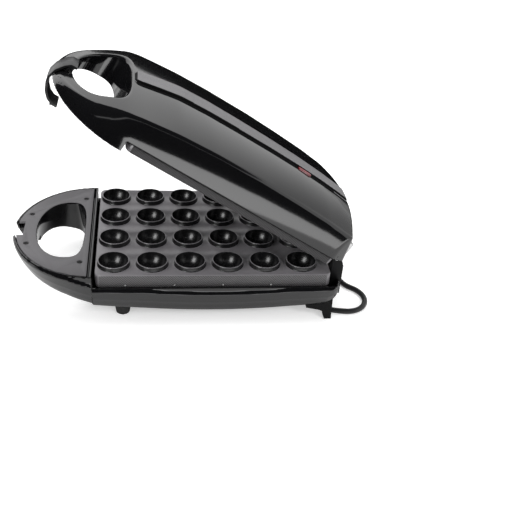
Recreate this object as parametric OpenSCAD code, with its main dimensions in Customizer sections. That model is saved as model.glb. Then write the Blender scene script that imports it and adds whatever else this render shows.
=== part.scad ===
// Clamshell maker for small round donuts: two heated plates of cups in two hinged shells with loop
// handles, a latch clip on the lid's handle and a mains lead. The lid stands open.
// Y runs from the handles (-Y) to the hinge (+Y), +Z is up, and the feet stand on z = 0.

/* [Baking plates] */
// Distance between cups from handle to hinge
cup_pitch_y = 40; // [38:0.5:44]
// Distance between cups from side to side
cup_pitch_x = 47.2; // [44:0.4:50]
// Radius of the round hollow of a cup
bowl_r = 15.4; // [13:0.2:16]
// Wall of a cup
cup_wall = 2; // [1.6:0.2:2.6]
// Height of a cup's rim above the plate
rim_rise = 5; // [3:0.5:6]
// Thickness of the plates
plate_t = 2.5; // [2:0.5:3.5]
// Distance from the outer cups' centres to the plate's side
side_margin = 22.2; // [20:0.2:26]
// Distance from the first cups' centres to the plate's front edge
front_margin = 19; // [18:0.5:24]
// Distance from the last cups' centres to the plate's rear edge
rear_margin = 30; // [26:0.5:32]
// Corner radius of the plates
plate_corner_r = 7; // [4:0.5:12]
// Wall of the band that hangs from the plate's edge
band_t = 2.5; // [2:0.5:4]
// Height of the lower plate's band below the rims
lower_band_drop = 20; // [17:0.5:22]
// Height of the upper plate's band above the rims
upper_band_rise = 16; // [14:0.5:18]
// Gap between the rims of the two plates when shut
closing_gap = 0.5; // [0.3:0.1:1]

/* [Lower housing] */
// Height of the lower cups' rims above the table
rim_z = 68; // [66:0.5:74]
// Wall of both housings
wall = 2.5; // [2:0.1:3]
// Gap between plate edge and housing lip, measured sideways
lip_gap = 1.5; // [1:0.1:2]
// Height of the housing's lip above the table
lip_z = 49; // [47:0.5:50]
// How far the side bulges out below the lip
belly = 2; // [1:0.5:4]
// Height of the underside's lowest place above the table
under_z = 9.5; // [8:0.5:12]
// How far forward of the plates' rear edge the underside is lowest
under_low_back = 120; // [100:5:140]
// Rise of the underside 100 mm away from its lowest place
under_rise = 5.65; // [4:0.05:6]
// Gap between the handle and the plate's front edge
handle_gap = 3; // [2:0.5:5]
// Length of the lower handle
lower_handle_l = 87.5; // [84:0.5:100]
// Height of the handle cover above the table
cover_z = 63.5; // [62:0.5:64]
// Thickness of the handle covers
cover_t = 2.5; // [2:0.5:4]
// Extra rise of the lower handle's underside at its tip
tip_rise = 8.5; // [6:0.5:10]
// Slope at which the underside turns up behind the plate
tail_slope = 1.3; // [1:0.05:1.5]

/* [Finger openings] */
// Half the width of a finger opening
opening_half_w = 58; // [50:1:60]
// Width of the upper handle's grip at its tip
grip_w = 16.5; // [15:0.5:18]
// Reach of the opening from its widest place towards the plate
opening_rear = 19; // [15:0.5:20]
// Distance from the handle's root to the opening's widest place
opening_y = 30; // [28:0.5:34]

/* [Upper housing] */
// Length of the upper handle
upper_handle_l = 79.5; // [76:0.5:84]
// Height of the lid's top above the rims
lid_h = 50.5; // [46:0.5:56]
// How far the crease at the lid's side lies below its top
crease_drop = 8; // [5:0.5:12]
// How far the crease lies in from the lid's lower edge
crease_in = 8; // [5:0.5:12]
// How far the lid reaches behind the plate
lid_overhang = 17; // [16:0.5:20]
// Height of the raised spine
spine_h = 2.8; // [1.5:0.1:4]
// Half the width of the spine at the handle
spine_half_w = 15; // [12:0.5:16]
// Angle at which the lid stands open
open_angle = 31.4; // [20:0.1:60]

/* [Hinge] */
// Distance from the plate's rear edge to the hinge axis
hinge_back = 7; // [6.5:0.5:9]
// Height of the hinge axis above the lower rims
hinge_up = 11; // [9:0.5:13]
// Radius of the hinge pins
pin_r = 2.2; // [1.5:0.1:2.5]
// Running clearance around a pin
pin_clear = 0.06; // [0.03:0.01:0.1]
// Radius of the eyes around the pins
eye_r = 5.5; // [4.5:0.1:5.5]
// Distance from the middle to a hinge post
post_x = 76; // [70:0.5:78]
// Width of a hinge post
post_w = 8.5; // [6:0.5:10]
// Thickness of a lid bracket's ear
ear_t = 2; // [1.5:0.1:3]

/* [Latch] */
// Width of the latch clip
latch_w = 25; // [20:0.5:28]
// Thickness of the clip's strap
strap_t = 2.4; // [2:0.1:3]
// Radius of the latch pin
latch_pin_r = 1.5; // [1:0.1:1.8]
// Radius of the clip's eye
latch_eye_r = 3.4; // [3:0.1:3.6]

/* [Feet] */
// Radius of a front foot where it meets the housing
foot_top_r = 9.8; // [8:0.2:11]
// Radius of a front foot on the table
foot_r = 7.3; // [6:0.1:9]
// Distance from the middle to a foot
foot_x = 69; // [60:1:74]
// Distance from the plates' middle to a front foot
foot_y = 91; // [80:1:100]
// Distance from the middle to a rear leg
leg_x = 84; // [80:0.5:86]
// Thickness of a rear leg
leg_t = 9; // [6:0.5:10]

/* [Heating] */
// Radius of the heating tube
tube_r = 3.25; // [2.5:0.05:3.5]
// Bend radius of the heating tube
tube_bend = 10; // [8:0.5:12]
// Thickness of the heat shields
shield_t = 1; // [0.6:0.1:1.5]
// Radius of the screws that hold the plates
screw_r = 1.9; // [1.5:0.1:2.2]

/* [Cord] */
// Diameter of the cord
cord_d = 6.2; // [5.8:0.1:6.6]
// Mean radius of the coil
coil_r = 36; // [34:1:38]
// Number of turns in the coil
coil_turns = 3; // [2:1:3]

/* [Hidden] */
$fn = 48;
eps = 0.01;
fit = 0.3;

// Plates
cup_cols = 6;
cup_rows = 4;
cup_xs = [for (i = [0:cup_rows - 1]) (i - (cup_rows - 1) / 2) * cup_pitch_x];
cup_ys = [for (i = [0:cup_cols - 1]) (i - (cup_cols - 1) / 2) * cup_pitch_y];
cup_r = bowl_r + cup_wall;
plate_half_w = cup_xs[cup_rows - 1] + side_margin;
plate_front = cup_ys[0] - front_margin;
plate_rear = cup_ys[cup_cols - 1] + rear_margin;
slab_under = rim_rise + plate_t;
post_xs = [-cup_pitch_x, cup_pitch_x];
plate_post_ys = [cup_ys[0], cup_ys[cup_cols - 1]];
plate_post_r = 4.2;
plate_post_l = 28;
pilot_r = screw_r + 0.1;
pilot_l = 12;
lip_rise = 4.4;

// Lower housing
lip_half_w = plate_half_w + band_t + lip_gap;
handle_root = plate_front - handle_gap;
lower_tip = handle_root - lower_handle_l;
lower_end = plate_rear + lid_overhang - 1;
ledge_z = rim_z - lower_band_drop - fit;
foot_h = under_at(-foot_y) + 1;
terminal_y = plate_rear - 22;
terminal_z = under_at(terminal_y) + wall + 4;
bay_wall = 2.5;
counterbore_z = 26;
boss_r = 6.6;
nose_half_w = latch_w / 2 + 1.8;

// Lid, in the shut position
lid_bottom = rim_z + 10;
// Height over the rim of the slots that clear the hinge posts when the lid stands fully open
post_slot_rise = 26;
lid_handle_z = rim_z - 1;
upper_tip = handle_root - upper_handle_l;
lid_end = plate_rear + lid_overhang;
hinge_y = plate_rear + hinge_back;
hinge_z = rim_z + hinge_up;

// The origin lies under the middle of the whole appliance with its lid open
function opened(p) = [
  hinge_y + (p[0] - hinge_y) * cos(open_angle) + (p[1] - hinge_z) * sin(open_angle),
  hinge_z - (p[0] - hinge_y) * sin(open_angle) + (p[1] - hinge_z) * cos(open_angle)
];
rearmost = opened([lid_end - 4, rim_z + lid_h - 7])[0];
foremost = handle_root - lower_handle_l * sqrt(1 - pow((latch_w / 2 + 1.8) / lip_half_w, 2));
grid_y = -(foremost + rearmost) / 2;

// Latch, in the shut position
latch_y = upper_tip + 13;
latch_z = rim_z + 11;
latch_slot = latch_w / 2 + 0.8;

// Heating
tube_z = slab_under + tube_r + 0.1;
tube_front = cup_ys[0] + cup_pitch_y / 2;
tube_back = cup_ys[cup_cols - 1] - cup_pitch_y / 2;
shield_z = cup_r + 4.4;
shield_half_w = plate_half_w - band_t - 4;
shield_front = plate_front + band_t + 4;
shield_rear = plate_rear - band_t - 18;
shield_post_ys = [-cup_pitch_y, cup_pitch_y];
shield_post_r = 4;
screw_head_r = 3.8;
screw_head_h = 2.4;

// Lead
cord_r = cord_d / 2;
coil_x = -150;
coil_y = 110;

module at_base() {
  translate([0, grid_y, 0]) children();
}

module at_lid() {
  at_base()
    translate([0, hinge_y, hinge_z])
      rotate([-open_angle, 0, 0])
        translate([0, -hinge_y, -hinge_z]) children();
}

module both_sides() {
  children();
  mirror([1, 0, 0]) children();
}

module at_points(xs, ys, z) {
  for (x = xs) {
    for (y = ys) {
      translate([x, y, z]) children();
    }
  }
}

module round_box(half_w, y0, y1, r, h) {
  linear_extrude(h) {
    translate([-half_w + r, y0]) square([2 * (half_w - r), y1 - y0]);
    translate([-half_w, y0 + r]) square([2 * half_w, y1 - y0 - 2 * r]);
    for (x = [-half_w + r, half_w - r]) {
      for (y = [y0 + r, y1 - r]) {
        translate([x, y]) circle(r);
      }
    }
  }
}

// Profile in the YZ plane, extruded along X between x0 and x1
module side_profile(points, x0, x1) {
  translate([x0, 0, 0])
    rotate([90, 0, 90])
      linear_extrude(x1 - x0) polygon(points);
}

// ---- Baking plates ----

module cup_solid() {
  arc_end = asin((slab_under - 1) / cup_r);
  arc = [for (i = [0:6]) let (a = -90 + i * (90 - arc_end) / 6) [cup_r * cos(a), cup_r * sin(a)]];
  rim = [[cup_r, -slab_under + 1], [cup_r, -1.6], [cup_r - 0.6, -1.2], [cup_r - 0.9, 0], [0, 0]];
  rotate_extrude() polygon(concat(arc, rim));
}

// A plate with its rims at z = 0 and its band hanging to z = -band
module baking_plate(band, through) {
  difference() {
    union() {
      translate([0, 0, -slab_under])
        round_box(plate_half_w, plate_front, plate_rear, plate_corner_r, plate_t);
      translate([0, 0, -band])
        difference() {
          round_box(plate_half_w, plate_front, plate_rear, plate_corner_r, band - slab_under + 1);
          translate([0, 0, -1])
            round_box(plate_half_w - band_t, plate_front + band_t, plate_rear - band_t,
              plate_corner_r - band_t, band);
        }
      at_points(cup_xs, cup_ys, 0) cup_solid();
      at_points(post_xs, plate_post_ys, -plate_post_l)
        cylinder(h = plate_post_l - slab_under + 1, r = plate_post_r);
      at_points([0], shield_post_ys, -shield_z + fit)
        cylinder(h = shield_z - fit - slab_under + 1, r = shield_post_r);
    }
    at_points(cup_xs, cup_ys, 0) sphere(bowl_r);
    at_points(post_xs, plate_post_ys, -plate_post_l - 1)
      cylinder(h = through ? plate_post_l + 2 : pilot_l + 1, r = pilot_r);
    if (through) {
      at_points(post_xs, plate_post_ys, -rim_rise - 1.4)
        cylinder(h = 3, r = screw_head_r + 0.3);
    }
    at_points([0], shield_post_ys, -shield_z - 1)
      cylinder(h = 10, r = pilot_r);
  }
}

module lower_plate() color([0.33, 0.32, 0.34]) at_base() {
  translate([0, 0, rim_z]) baking_plate(lower_band_drop, false);
}

module upper_plate() color([0.33, 0.32, 0.34]) at_lid() {
  translate([0, 0, rim_z + closing_gap])
    mirror([0, 0, 1]) {
      baking_plate(upper_band_rise, true);
      translate([0, 0, -rim_rise - 1])
        difference() {
          round_box(plate_half_w, plate_front, plate_rear, plate_corner_r, lip_rise + 1);
          translate([0, 0, -1])
            round_box(plate_half_w - 1.8, plate_front + 1.8, plate_rear - 1.8,
              plate_corner_r - 1.8, lip_rise + 3);
        }
    }
}

module band_pins() color([0.75, 0.75, 0.76]) at_base() {
  both_sides()
    for (i = [0:3]) {
      translate([plate_half_w, handle_root + 34 + 51 * i, lip_z + 1.7])
        rotate([0, 90, 0]) cylinder(h = 0.6, r = 0.9);
    }
}

// ---- Lower housing ----

// Half width of a handle at y, for a handle of length l and root half width w
function handle_w(y, l, w) = y >= handle_root ? w : w * sqrt(max(0.004, 1 - pow((handle_root - y) / l, 2)));
function mix(a, b, t) = a + (b - a) * min(1, max(0, t));

// Underside height of the lower housing along Y
function under_at(y) = under_z
  + under_rise * pow((min(y, plate_rear) - plate_rear + under_low_back) / 100, 2)
  + tip_rise * pow(max(0, handle_root - y) / lower_handle_l, 0.7)
  + tail_slope * max(0, y - plate_rear);
function rear_pull(y) = y < plate_rear ? 0 : 19 * pow((y - plate_rear) / (lower_end - plate_rear), 2);

function lower_section(w, top, bottom) =
  let (s = min(1, (top - bottom) / 36, w / 44), b = w + belly * s)
  let (right = [[w, top], [b, top - 6 * s], [b - 3 * s, mix(bottom, top, 0.52)],
    [b - 7 * s, bottom + 10 * s], [b - 11 * s, bottom + 5 * s], [b - 17 * s, bottom + 1.5 * s],
    [b - 25 * s, bottom]])
  concat(right, [for (i = [len(right) - 1:-1:0]) [-right[i][0], right[i][1]]]);

// A closed solid through sections, each a list of XZ points at its own Y
module loft(ys, sections) {
  n = len(sections[0]);
  m = len(ys);
  points = [for (i = [0:m - 1]) for (p = sections[i]) [p[0], ys[i], p[1]]];
  walls = [for (i = [0:m - 2]) for (k = [0:n - 1])
    let (a = i * n + k, b = i * n + (k + 1) % n)
    for (f = [[a, a + n, b], [b, a + n, b + n]]) f];
  ends = [[for (k = [0:n - 1]) k], [for (k = [n - 1:-1:0]) (m - 1) * n + k]];
  polyhedron(points = points, faces = concat(walls, ends));
}

handle_fs = [0, 0.002, 0.012, 0.03, 0.06, 0.1, 0.16, 0.24, 0.33, 0.44, 0.58, 0.78, 1];
lower_body_fs = [0, 0.16, 0.32, 0.48, 0.64, 0.8, 0.9, 0.935, 0.965, 0.985, 1];

module lower_handle_loft(inset, top) {
  ys = [for (f = handle_fs) mix(lower_tip + inset, handle_root + eps, f)];
  loft(ys, [for (y = ys)
    lower_section(max(2, handle_w(y, lower_handle_l - inset, lip_half_w) - inset), top, under_at(y) + inset)]);
}

module lower_body_loft(inset, top, start) {
  ys = [for (f = lower_body_fs) mix(start, lower_end - inset, f)];
  loft(ys, [for (y = ys) lower_section(lip_half_w - inset - rear_pull(y), top, under_at(y) + inset)]);
}

opening_mid = handle_root - opening_y;
opening_front = upper_handle_l - opening_y - grip_w;
function opening_points(grow) = [for (a = [0:6:354])
  let (c = cos(a), s = sin(a), e = s > 0 ? 0.62 : 0.95)
  [(opening_half_w + grow) * sign(c) * pow(abs(c), e),
    opening_mid + (s > 0 ? opening_rear + grow : opening_front + grow) * sign(s) * pow(abs(s), e)]];

// The space the latch clip needs in front of the lower handle's tip
function notch_profile() = [
  [lower_tip - 5, cover_z + 5], [upper_tip + 2.6, cover_z + 5], [upper_tip + 2.8, cover_z - 3],
  [upper_tip + 4, rim_z - 12], [upper_tip + 7, rim_z - 17.5], [upper_tip + 11.5, rim_z - 21.7],
  [upper_tip + 17, rim_z - 23.5], [upper_tip + 24, rim_z - 24], [upper_tip + 24, rim_z - 60],
  [lower_tip - 5, rim_z - 60]
];

module handle_bosses(places, z0, z1, r) {
  for (p = places) {
    translate([p[0], p[1], z0]) cylinder(h = z1 - z0, r = r);
  }
}

// Four places on a handle, two beside the opening and two in the middle of the grip
function screw_places(l, half_w) =
  let (edge = handle_root - l * sqrt(1 - pow(31 / half_w, 2)),
    y = (edge + opening_mid - 0.9 * opening_front) / 2, x = (half_w + opening_half_w) / 2 - 9.5)
  [[-x, handle_root - 13], [x, handle_root - 13], [-31, y], [31, y]];
lower_places = screw_places(lower_handle_l, lip_half_w);
upper_places = screw_places(upper_handle_l, lip_half_w - 1);
lower_outline = handle_outline(lower_handle_l, lip_half_w, wall);
upper_outline = handle_outline(upper_handle_l, lip_half_w - 1, wall);

module lower_housing() color([0.07, 0.07, 0.08]) at_base() {
  difference() {
    union() {
      lower_handle_loft(0, cover_z);
      lower_body_loft(0, lip_z, handle_root);
    }
    difference() {
      lower_handle_loft(wall, cover_z + 1);
      translate([-200, handle_root - bay_wall, -50]) cube([400, 20, 200]);
      translate([-nose_half_w - wall, lower_tip - 1, 0])
        cube([2 * (nose_half_w + wall), upper_tip + 20 - lower_tip, cover_z - cover_t - fit]);
      linear_extrude(cover_z - cover_t - fit) polygon(opening_points(wall));
      handle_bosses(lower_places, -50, cover_z - cover_t - fit, 4);
    }
    difference() {
      lower_body_loft(wall, lip_z + 1, handle_root + eps);
      difference() {
        translate([-lip_half_w, handle_root - 1, ledge_z - 3])
          cube([2 * lip_half_w, plate_rear + 1.5 - handle_root, 3]);
        translate([-plate_half_w + band_t + 1, plate_front + band_t + 1, 0])
          cube([2 * (plate_half_w - band_t - 1), plate_rear - plate_front - 2 * band_t - 2, 100]);
      }
      at_points(post_xs, plate_post_ys, 0)
        cylinder(h = rim_z - plate_post_l - fit, r = boss_r);
      translate([-20, terminal_y - 9, 0]) cube([40, 18, terminal_z]);
      both_sides() translate([foot_x, -foot_y, 0]) cylinder(h = foot_h + wall, r = foot_top_r + 1);
      both_sides() translate([post_x - post_w / 2 - 2.5, plate_rear + 1.5, 0])
        cube([post_w + 5, 20, lip_z - 6]);
    }
    linear_extrude(200, center = true) polygon(opening_points(0));
    side_profile(notch_profile(), -latch_slot - 1, latch_slot + 1);
    at_points(post_xs, plate_post_ys, -1) cylinder(h = 100, r = screw_r + 0.3);
    at_points(post_xs, plate_post_ys, -1) cylinder(h = counterbore_z + 1, r = screw_head_r + 0.5);
    translate([0, 0, cover_z - cover_t - fit])
      linear_extrude(20) polygon(handle_outline(lower_handle_l, lip_half_w, wall - fit));
    handle_bosses(lower_places, cover_z - 12, cover_z, screw_r);
    both_sides() translate([foot_x, -foot_y, -1]) cylinder(h = foot_h + 1 + fit, r = foot_top_r + 0.5);
    both_sides() translate([post_x - post_w / 2 - fit, plate_rear + 2, lip_z - 20])
      cube([post_w + 2 * fit, 40, 40]);
  }
}

// A handle's outline, drawn in by inset and cut off at the plates' bay
function handle_outline(l, half_w, inset) =
  let (tip = handle_root - l + inset, back = handle_root - bay_wall - inset,
    ys = [for (f = [0, 0.004, 0.014, 0.03, 0.06, 0.1, 0.16, 0.24, 0.34, 0.46, 0.6, 0.8, 1]) mix(tip, back, f)],
    right = [for (y = ys) [max(2, handle_w(y, l - inset, half_w) - inset), y]])
  concat(right, [for (i = [len(right) - 1:-1:0]) [-right[i][0], right[i][1]]]);

module cover_plate(outline, places) {
  difference() {
    linear_extrude(cover_t) polygon(outline);
    translate([0, 0, -1]) linear_extrude(cover_t + 2) polygon(opening_points(0.6));
    for (p = places) {
      translate([p[0], p[1], -1]) cylinder(h = cover_t + 2, r = screw_r + 0.2);
      translate([p[0], p[1], cover_t - 1]) cylinder(h = 2, r = 3.1);
    }
  }
}

module cover_screw() {
  difference() {
    union() {
      translate([0, 0, cover_t - 0.9]) cylinder(h = 0.7, r = 2.8);
      translate([0, 0, cover_t - 7.6]) cylinder(h = 7.1, r = screw_r - 0.2);
    }
    translate([-2, -0.35, cover_t - 0.6]) cube([4, 0.7, 1]);
    translate([-0.35, -2, cover_t - 0.6]) cube([0.7, 4, 1]);
  }
}

module lower_handle_cover() color([0.42, 0.41, 0.43]) at_base() {
  difference() {
    translate([0, 0, cover_z - cover_t]) cover_plate(lower_outline, lower_places);
    side_profile(notch_profile(), -latch_slot - 1, latch_slot + 1);
  }
}

module lower_cover_screws() color([0.25, 0.25, 0.26]) at_base() {
  for (p = lower_places) {
    translate([p[0], p[1], cover_z - cover_t]) cover_screw();
  }
}

module front_feet() color([0.05, 0.05, 0.05]) at_base() {
  both_sides()
    translate([foot_x, -foot_y, 0])
      difference() {
        cylinder(h = foot_h, r1 = foot_r, r2 = foot_top_r);
        translate([0, 0, -1]) cylinder(h = 3.5, r = foot_r - 2.5);
      }
}

module rear_legs() color([0.12, 0.12, 0.13]) at_base() {
  heel = plate_rear + 8.5;
  toe = plate_rear + 0.5;
  difference() {
    both_sides()
      side_profile([
        [heel, 0], [heel - 1.5, under_at(heel - 1.5) + 4], [plate_rear, under_at(plate_rear) + 6],
        [toe - 22, under_at(toe - 22) + 6], [toe - 22, under_at(toe - 22) + 0.5],
        [toe - 8, 12.5], [toe - 3, 10.4], [toe, 0]
      ], leg_x - leg_t / 2, leg_x + leg_t / 2);
    lower_body_loft(-0.1, lip_z, handle_root);
  }
}

module hinge_posts() color([0.05, 0.05, 0.06]) at_base() {
  foot_back = lower_end - 0.5;
  both_sides()
    difference() {
      union() {
        side_profile([
          [plate_rear + 2.3, lip_z - 20 + fit], [plate_rear + 2.3, hinge_z - 4],
          [hinge_y, hinge_z + 1], [hinge_y + eye_r - 1, hinge_z - 2], [foot_back, hinge_z - 14],
          [foot_back, lip_z - 20 + fit]
        ], post_x - post_w / 2, post_x + post_w / 2);
        translate([post_x - post_w / 2, hinge_y, hinge_z])
          rotate([0, 90, 0]) cylinder(h = post_w, r = eye_r);
      }
      translate([post_x - post_w, hinge_y, hinge_z])
        rotate([0, 90, 0]) cylinder(h = 2 * post_w, r = pin_r + pin_clear);
    }
}

pin_half_l = post_w / 2 + 0.6 + ear_t + 1;

module hinge_pins() color([0.75, 0.75, 0.77]) at_base() {
  both_sides()
    translate([post_x - pin_half_l, hinge_y, hinge_z])
      rotate([0, 90, 0]) cylinder(h = 2 * pin_half_l, r = pin_r);
}

// ---- Heating ----

// One leg, bend and half of the cross run of the heating tube, centred on its own axis
module half_tube(r) {
  translate([cup_pitch_x, tube_front + tube_bend, 0])
    rotate([-90, 0, 0]) cylinder(h = tube_back - tube_front - tube_bend, r = r);
  translate([cup_pitch_x - tube_bend, tube_front + tube_bend, 0])
    rotate([0, 0, -90]) rotate_extrude(angle = 90) translate([tube_bend, 0]) circle(r);
  translate([-eps, tube_front, 0])
    rotate([0, 90, 0]) cylinder(h = cup_pitch_x - tube_bend + eps, r = r);
}

module heating_tube() {
  both_sides() {
    half_tube(tube_r);
    translate([cup_pitch_x, tube_back, 0])
      rotate([-90, 0, 0]) cylinder(h = 4, r = tube_r - 0.6);
    translate([cup_pitch_x, tube_back, 0])
      rotate([-90, 0, 0]) cylinder(h = 10, r = 1.2);
  }
}

module tube_clips() {
  saddle = tube_r + 0.15;
  both_sides()
    at_points([cup_pitch_x], shield_post_ys, -tube_z)
      rotate([90, 0, 0])
        linear_extrude(6, center = true) {
          difference() {
            union() {
              circle(saddle + 1);
              translate([-saddle - 1, 0]) square([2 * saddle + 2, tube_r]);
            }
            circle(saddle);
            translate([-saddle, 0]) square([2 * saddle, tube_r + 2]);
          }
          for (side = [-1, 1]) {
            translate([side * (saddle + 3.4) - 2.9, tube_r - 1]) square([5.8, 1]);
          }
        }
}

module heat_shield() {
  difference() {
    translate([0, 0, -shield_z - shield_t])
      round_box(shield_half_w, shield_front, shield_rear, plate_corner_r, shield_t + 4);
    translate([0, 0, -shield_z])
      round_box(shield_half_w - shield_t, shield_front + shield_t, shield_rear - shield_t,
        plate_corner_r - shield_t, 8);
    at_points(post_xs, plate_post_ys, -shield_z - 5)
      cylinder(h = 10, r = plate_post_r + 1);
    at_points([0], shield_post_ys, -shield_z - 5)
      cylinder(h = 10, r = screw_r + fit);
  }
}

module shield_screws() {
  at_points([0], shield_post_ys, -shield_z - shield_t - screw_head_h)
    union() {
      cylinder(h = screw_head_h - 0.05, r = screw_head_r);
      cylinder(h = screw_head_h + shield_t + 7, r = screw_r);
    }
}

module under_rims() at_base() {
  translate([0, 0, rim_z]) children();
}

module over_rims() at_lid() {
  translate([0, 0, rim_z + closing_gap]) mirror([0, 0, 1]) children();
}

module lower_heating_tube() color([0.45, 0.43, 0.42]) under_rims() translate([0, 0, -tube_z]) heating_tube();
module upper_heating_tube() color([0.45, 0.43, 0.42]) over_rims() translate([0, 0, -tube_z]) heating_tube();
module lower_tube_clips() color([0.7, 0.7, 0.7]) under_rims() tube_clips();
module upper_tube_clips() color([0.7, 0.7, 0.7]) over_rims() tube_clips();
module lower_heat_shield() color([0.7, 0.71, 0.72]) under_rims() heat_shield();
module upper_heat_shield() color([0.7, 0.71, 0.72]) over_rims() heat_shield();
module lower_shield_screws() color([0.7, 0.7, 0.7]) under_rims() shield_screws();
module upper_shield_screws() color([0.7, 0.7, 0.7]) over_rims() shield_screws();

module thermostat() color([0.85, 0.84, 0.8]) under_rims()
  translate([0, 0, -slab_under - 0.1]) {
    translate([0, 0, -1]) cylinder(h = 1, r = 9.5);
    translate([0, 0, -9]) cylinder(h = 8.5, r = 8);
    for (x = [-5, 5]) {
      translate([x - 2, -0.5, -13]) cube([4, 1, 5]);
    }
  }

module thermal_fuse() color([0.9, 0.9, 0.85]) under_rims()
  translate([0, 2 * cup_pitch_y - 6, -slab_under - 2.6]) {
    rotate([-90, 0, 0]) cylinder(h = 12, r = 2.5);
    for (y = [-6, 12]) {
      translate([0, y, 0]) rotate([-90, 0, 0]) cylinder(h = 6, r = 0.6);
    }
  }

module lower_plate_screws() color([0.7, 0.7, 0.7]) at_base()
  at_points(post_xs, plate_post_ys, counterbore_z - screw_head_h - 0.1) {
    cylinder(h = screw_head_h, r = screw_head_r);
    cylinder(h = rim_z - plate_post_l + pilot_l - 2 - counterbore_z + screw_head_h, r = screw_r);
  }

module terminal_block() color([0.9, 0.89, 0.85]) at_base()
  translate([-17, terminal_y - 7, terminal_z + 0.1])
    difference() {
      cube([34, 14, 11]);
      for (x = [6, 17, 28]) {
        translate([x, 7, 7]) cylinder(h = 5, r = 2.4);
        translate([x, -1, 4]) rotate([-90, 0, 0]) cylinder(h = 16, r = 1.7);
      }
    }

// A bent wire through a list of points
module wire(points, r) {
  for (i = [0:len(points) - 2]) {
    step = points[i + 1] - points[i];
    length = norm(step);
    translate(points[i])
      rotate([0, acos(step[2] / length), atan2(step[1], step[0])]) cylinder(h = length, r = r, $fn = 24);
  }
  for (i = [1:len(points) - 2]) {
    translate(points[i]) sphere(1.12 * r, $fn = 24);
  }
}

wire_r = 1.1;
wire_top = rim_z - tube_z;

wire_x = cup_pitch_x + 8.2;
wire_y = cup_ys[cup_cols - 1];

module lower_wiring() color([0.85, 0.83, 0.78]) at_base() {
  both_sides() {
    wire([
      [11, terminal_y + 7.3, terminal_z + 4.1], [14, terminal_y + 12, terminal_z + 4.1],
      [wire_x - 20, wire_y + 16, wire_top - 16], [wire_x, wire_y + 14, wire_top - 2],
      [wire_x, wire_y - 3, wire_top], [cup_pitch_x, tube_back + 11.2, wire_top]
    ], wire_r);
  }
}

module upper_wiring() color([0.85, 0.83, 0.78]) at_lid() {
  z = rim_z + closing_gap + tube_z;
  both_sides()
    wire([
      [cup_pitch_x, tube_back + 11.2, z], [wire_x, wire_y - 3, z], [wire_x, wire_y + 14, z + 2],
      [wire_x, plate_rear - 8, z + 8], [wire_x, plate_rear + 4, z + 8]
    ], wire_r);
}

// ---- Lid housing ----

function lid_top(y) = rim_z + lid_h
  - 12 * pow(max(0, -y - 60) / (-60 - handle_root), 2)
  - 24 * max(0, min(1, (handle_root - y) / (upper_handle_l * 0.94)))
  - 3.5 * pow(max(0, y - 60) / (plate_rear - 60), 2);
function lid_pull(y) = y < plate_rear - 5 ? 0 : 15 * pow((y - plate_rear + 5) / (lid_overhang + 5), 3);

function lid_section(w, low, top, drop, in) =
  let (f = min(spine_half_w + 2, w * 0.45))
  let (right = [[w, low], [w - 0.1 * in, mix(low, top - drop, 0.35)],
    [w - 0.5 * in, mix(low, top - drop, 0.78)], [w - in, top - drop],
    [mix(w - in, f, 0.35), top - 0.42 * drop], [mix(w - in, f, 0.7), top - 0.12 * drop], [f, top]])
  concat([for (p = right) [-p[0], p[1]]], [for (i = [len(right) - 1:-1:0]) right[i]]);

upper_body_fs = [0, 0.08, 0.2, 0.35, 0.5, 0.65, 0.8, 0.88, 0.92, 0.95, 0.97, 0.985, 0.995, 1];

module upper_handle_loft(inset, low) {
  ys = [for (f = handle_fs) mix(upper_tip + inset, handle_root + eps, f)];
  loft(ys, [for (i = [0:len(ys) - 1])
    let (f = handle_fs[i], y = ys[i],
      w = max(3, handle_w(y, upper_handle_l - inset, lip_half_w - 1) - inset),
      top = mix(lid_handle_z + 5, lid_top(y), 1 - pow(1 - f, 10)) - inset)
    lid_section(w, low, max(top, low + 2), min(crease_drop + 4 * (1 - f), (max(top, low + 2) - low) * 0.5),
      min(crease_in + 5 * (1 - f), w * 0.4))]);
}

module upper_body_loft(inset, low, start) {
  ys = [for (f = upper_body_fs) mix(start, lid_end - inset, f)];
  loft(ys, [for (y = ys)
    let (fall = 14 * pow(max(0, y - lid_end + inset + 8) / 8, 3))
    lid_section(lip_half_w - 1 - inset - lid_pull(y), low, lid_top(y) - inset - fall, crease_drop, crease_in)]);
}

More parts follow.
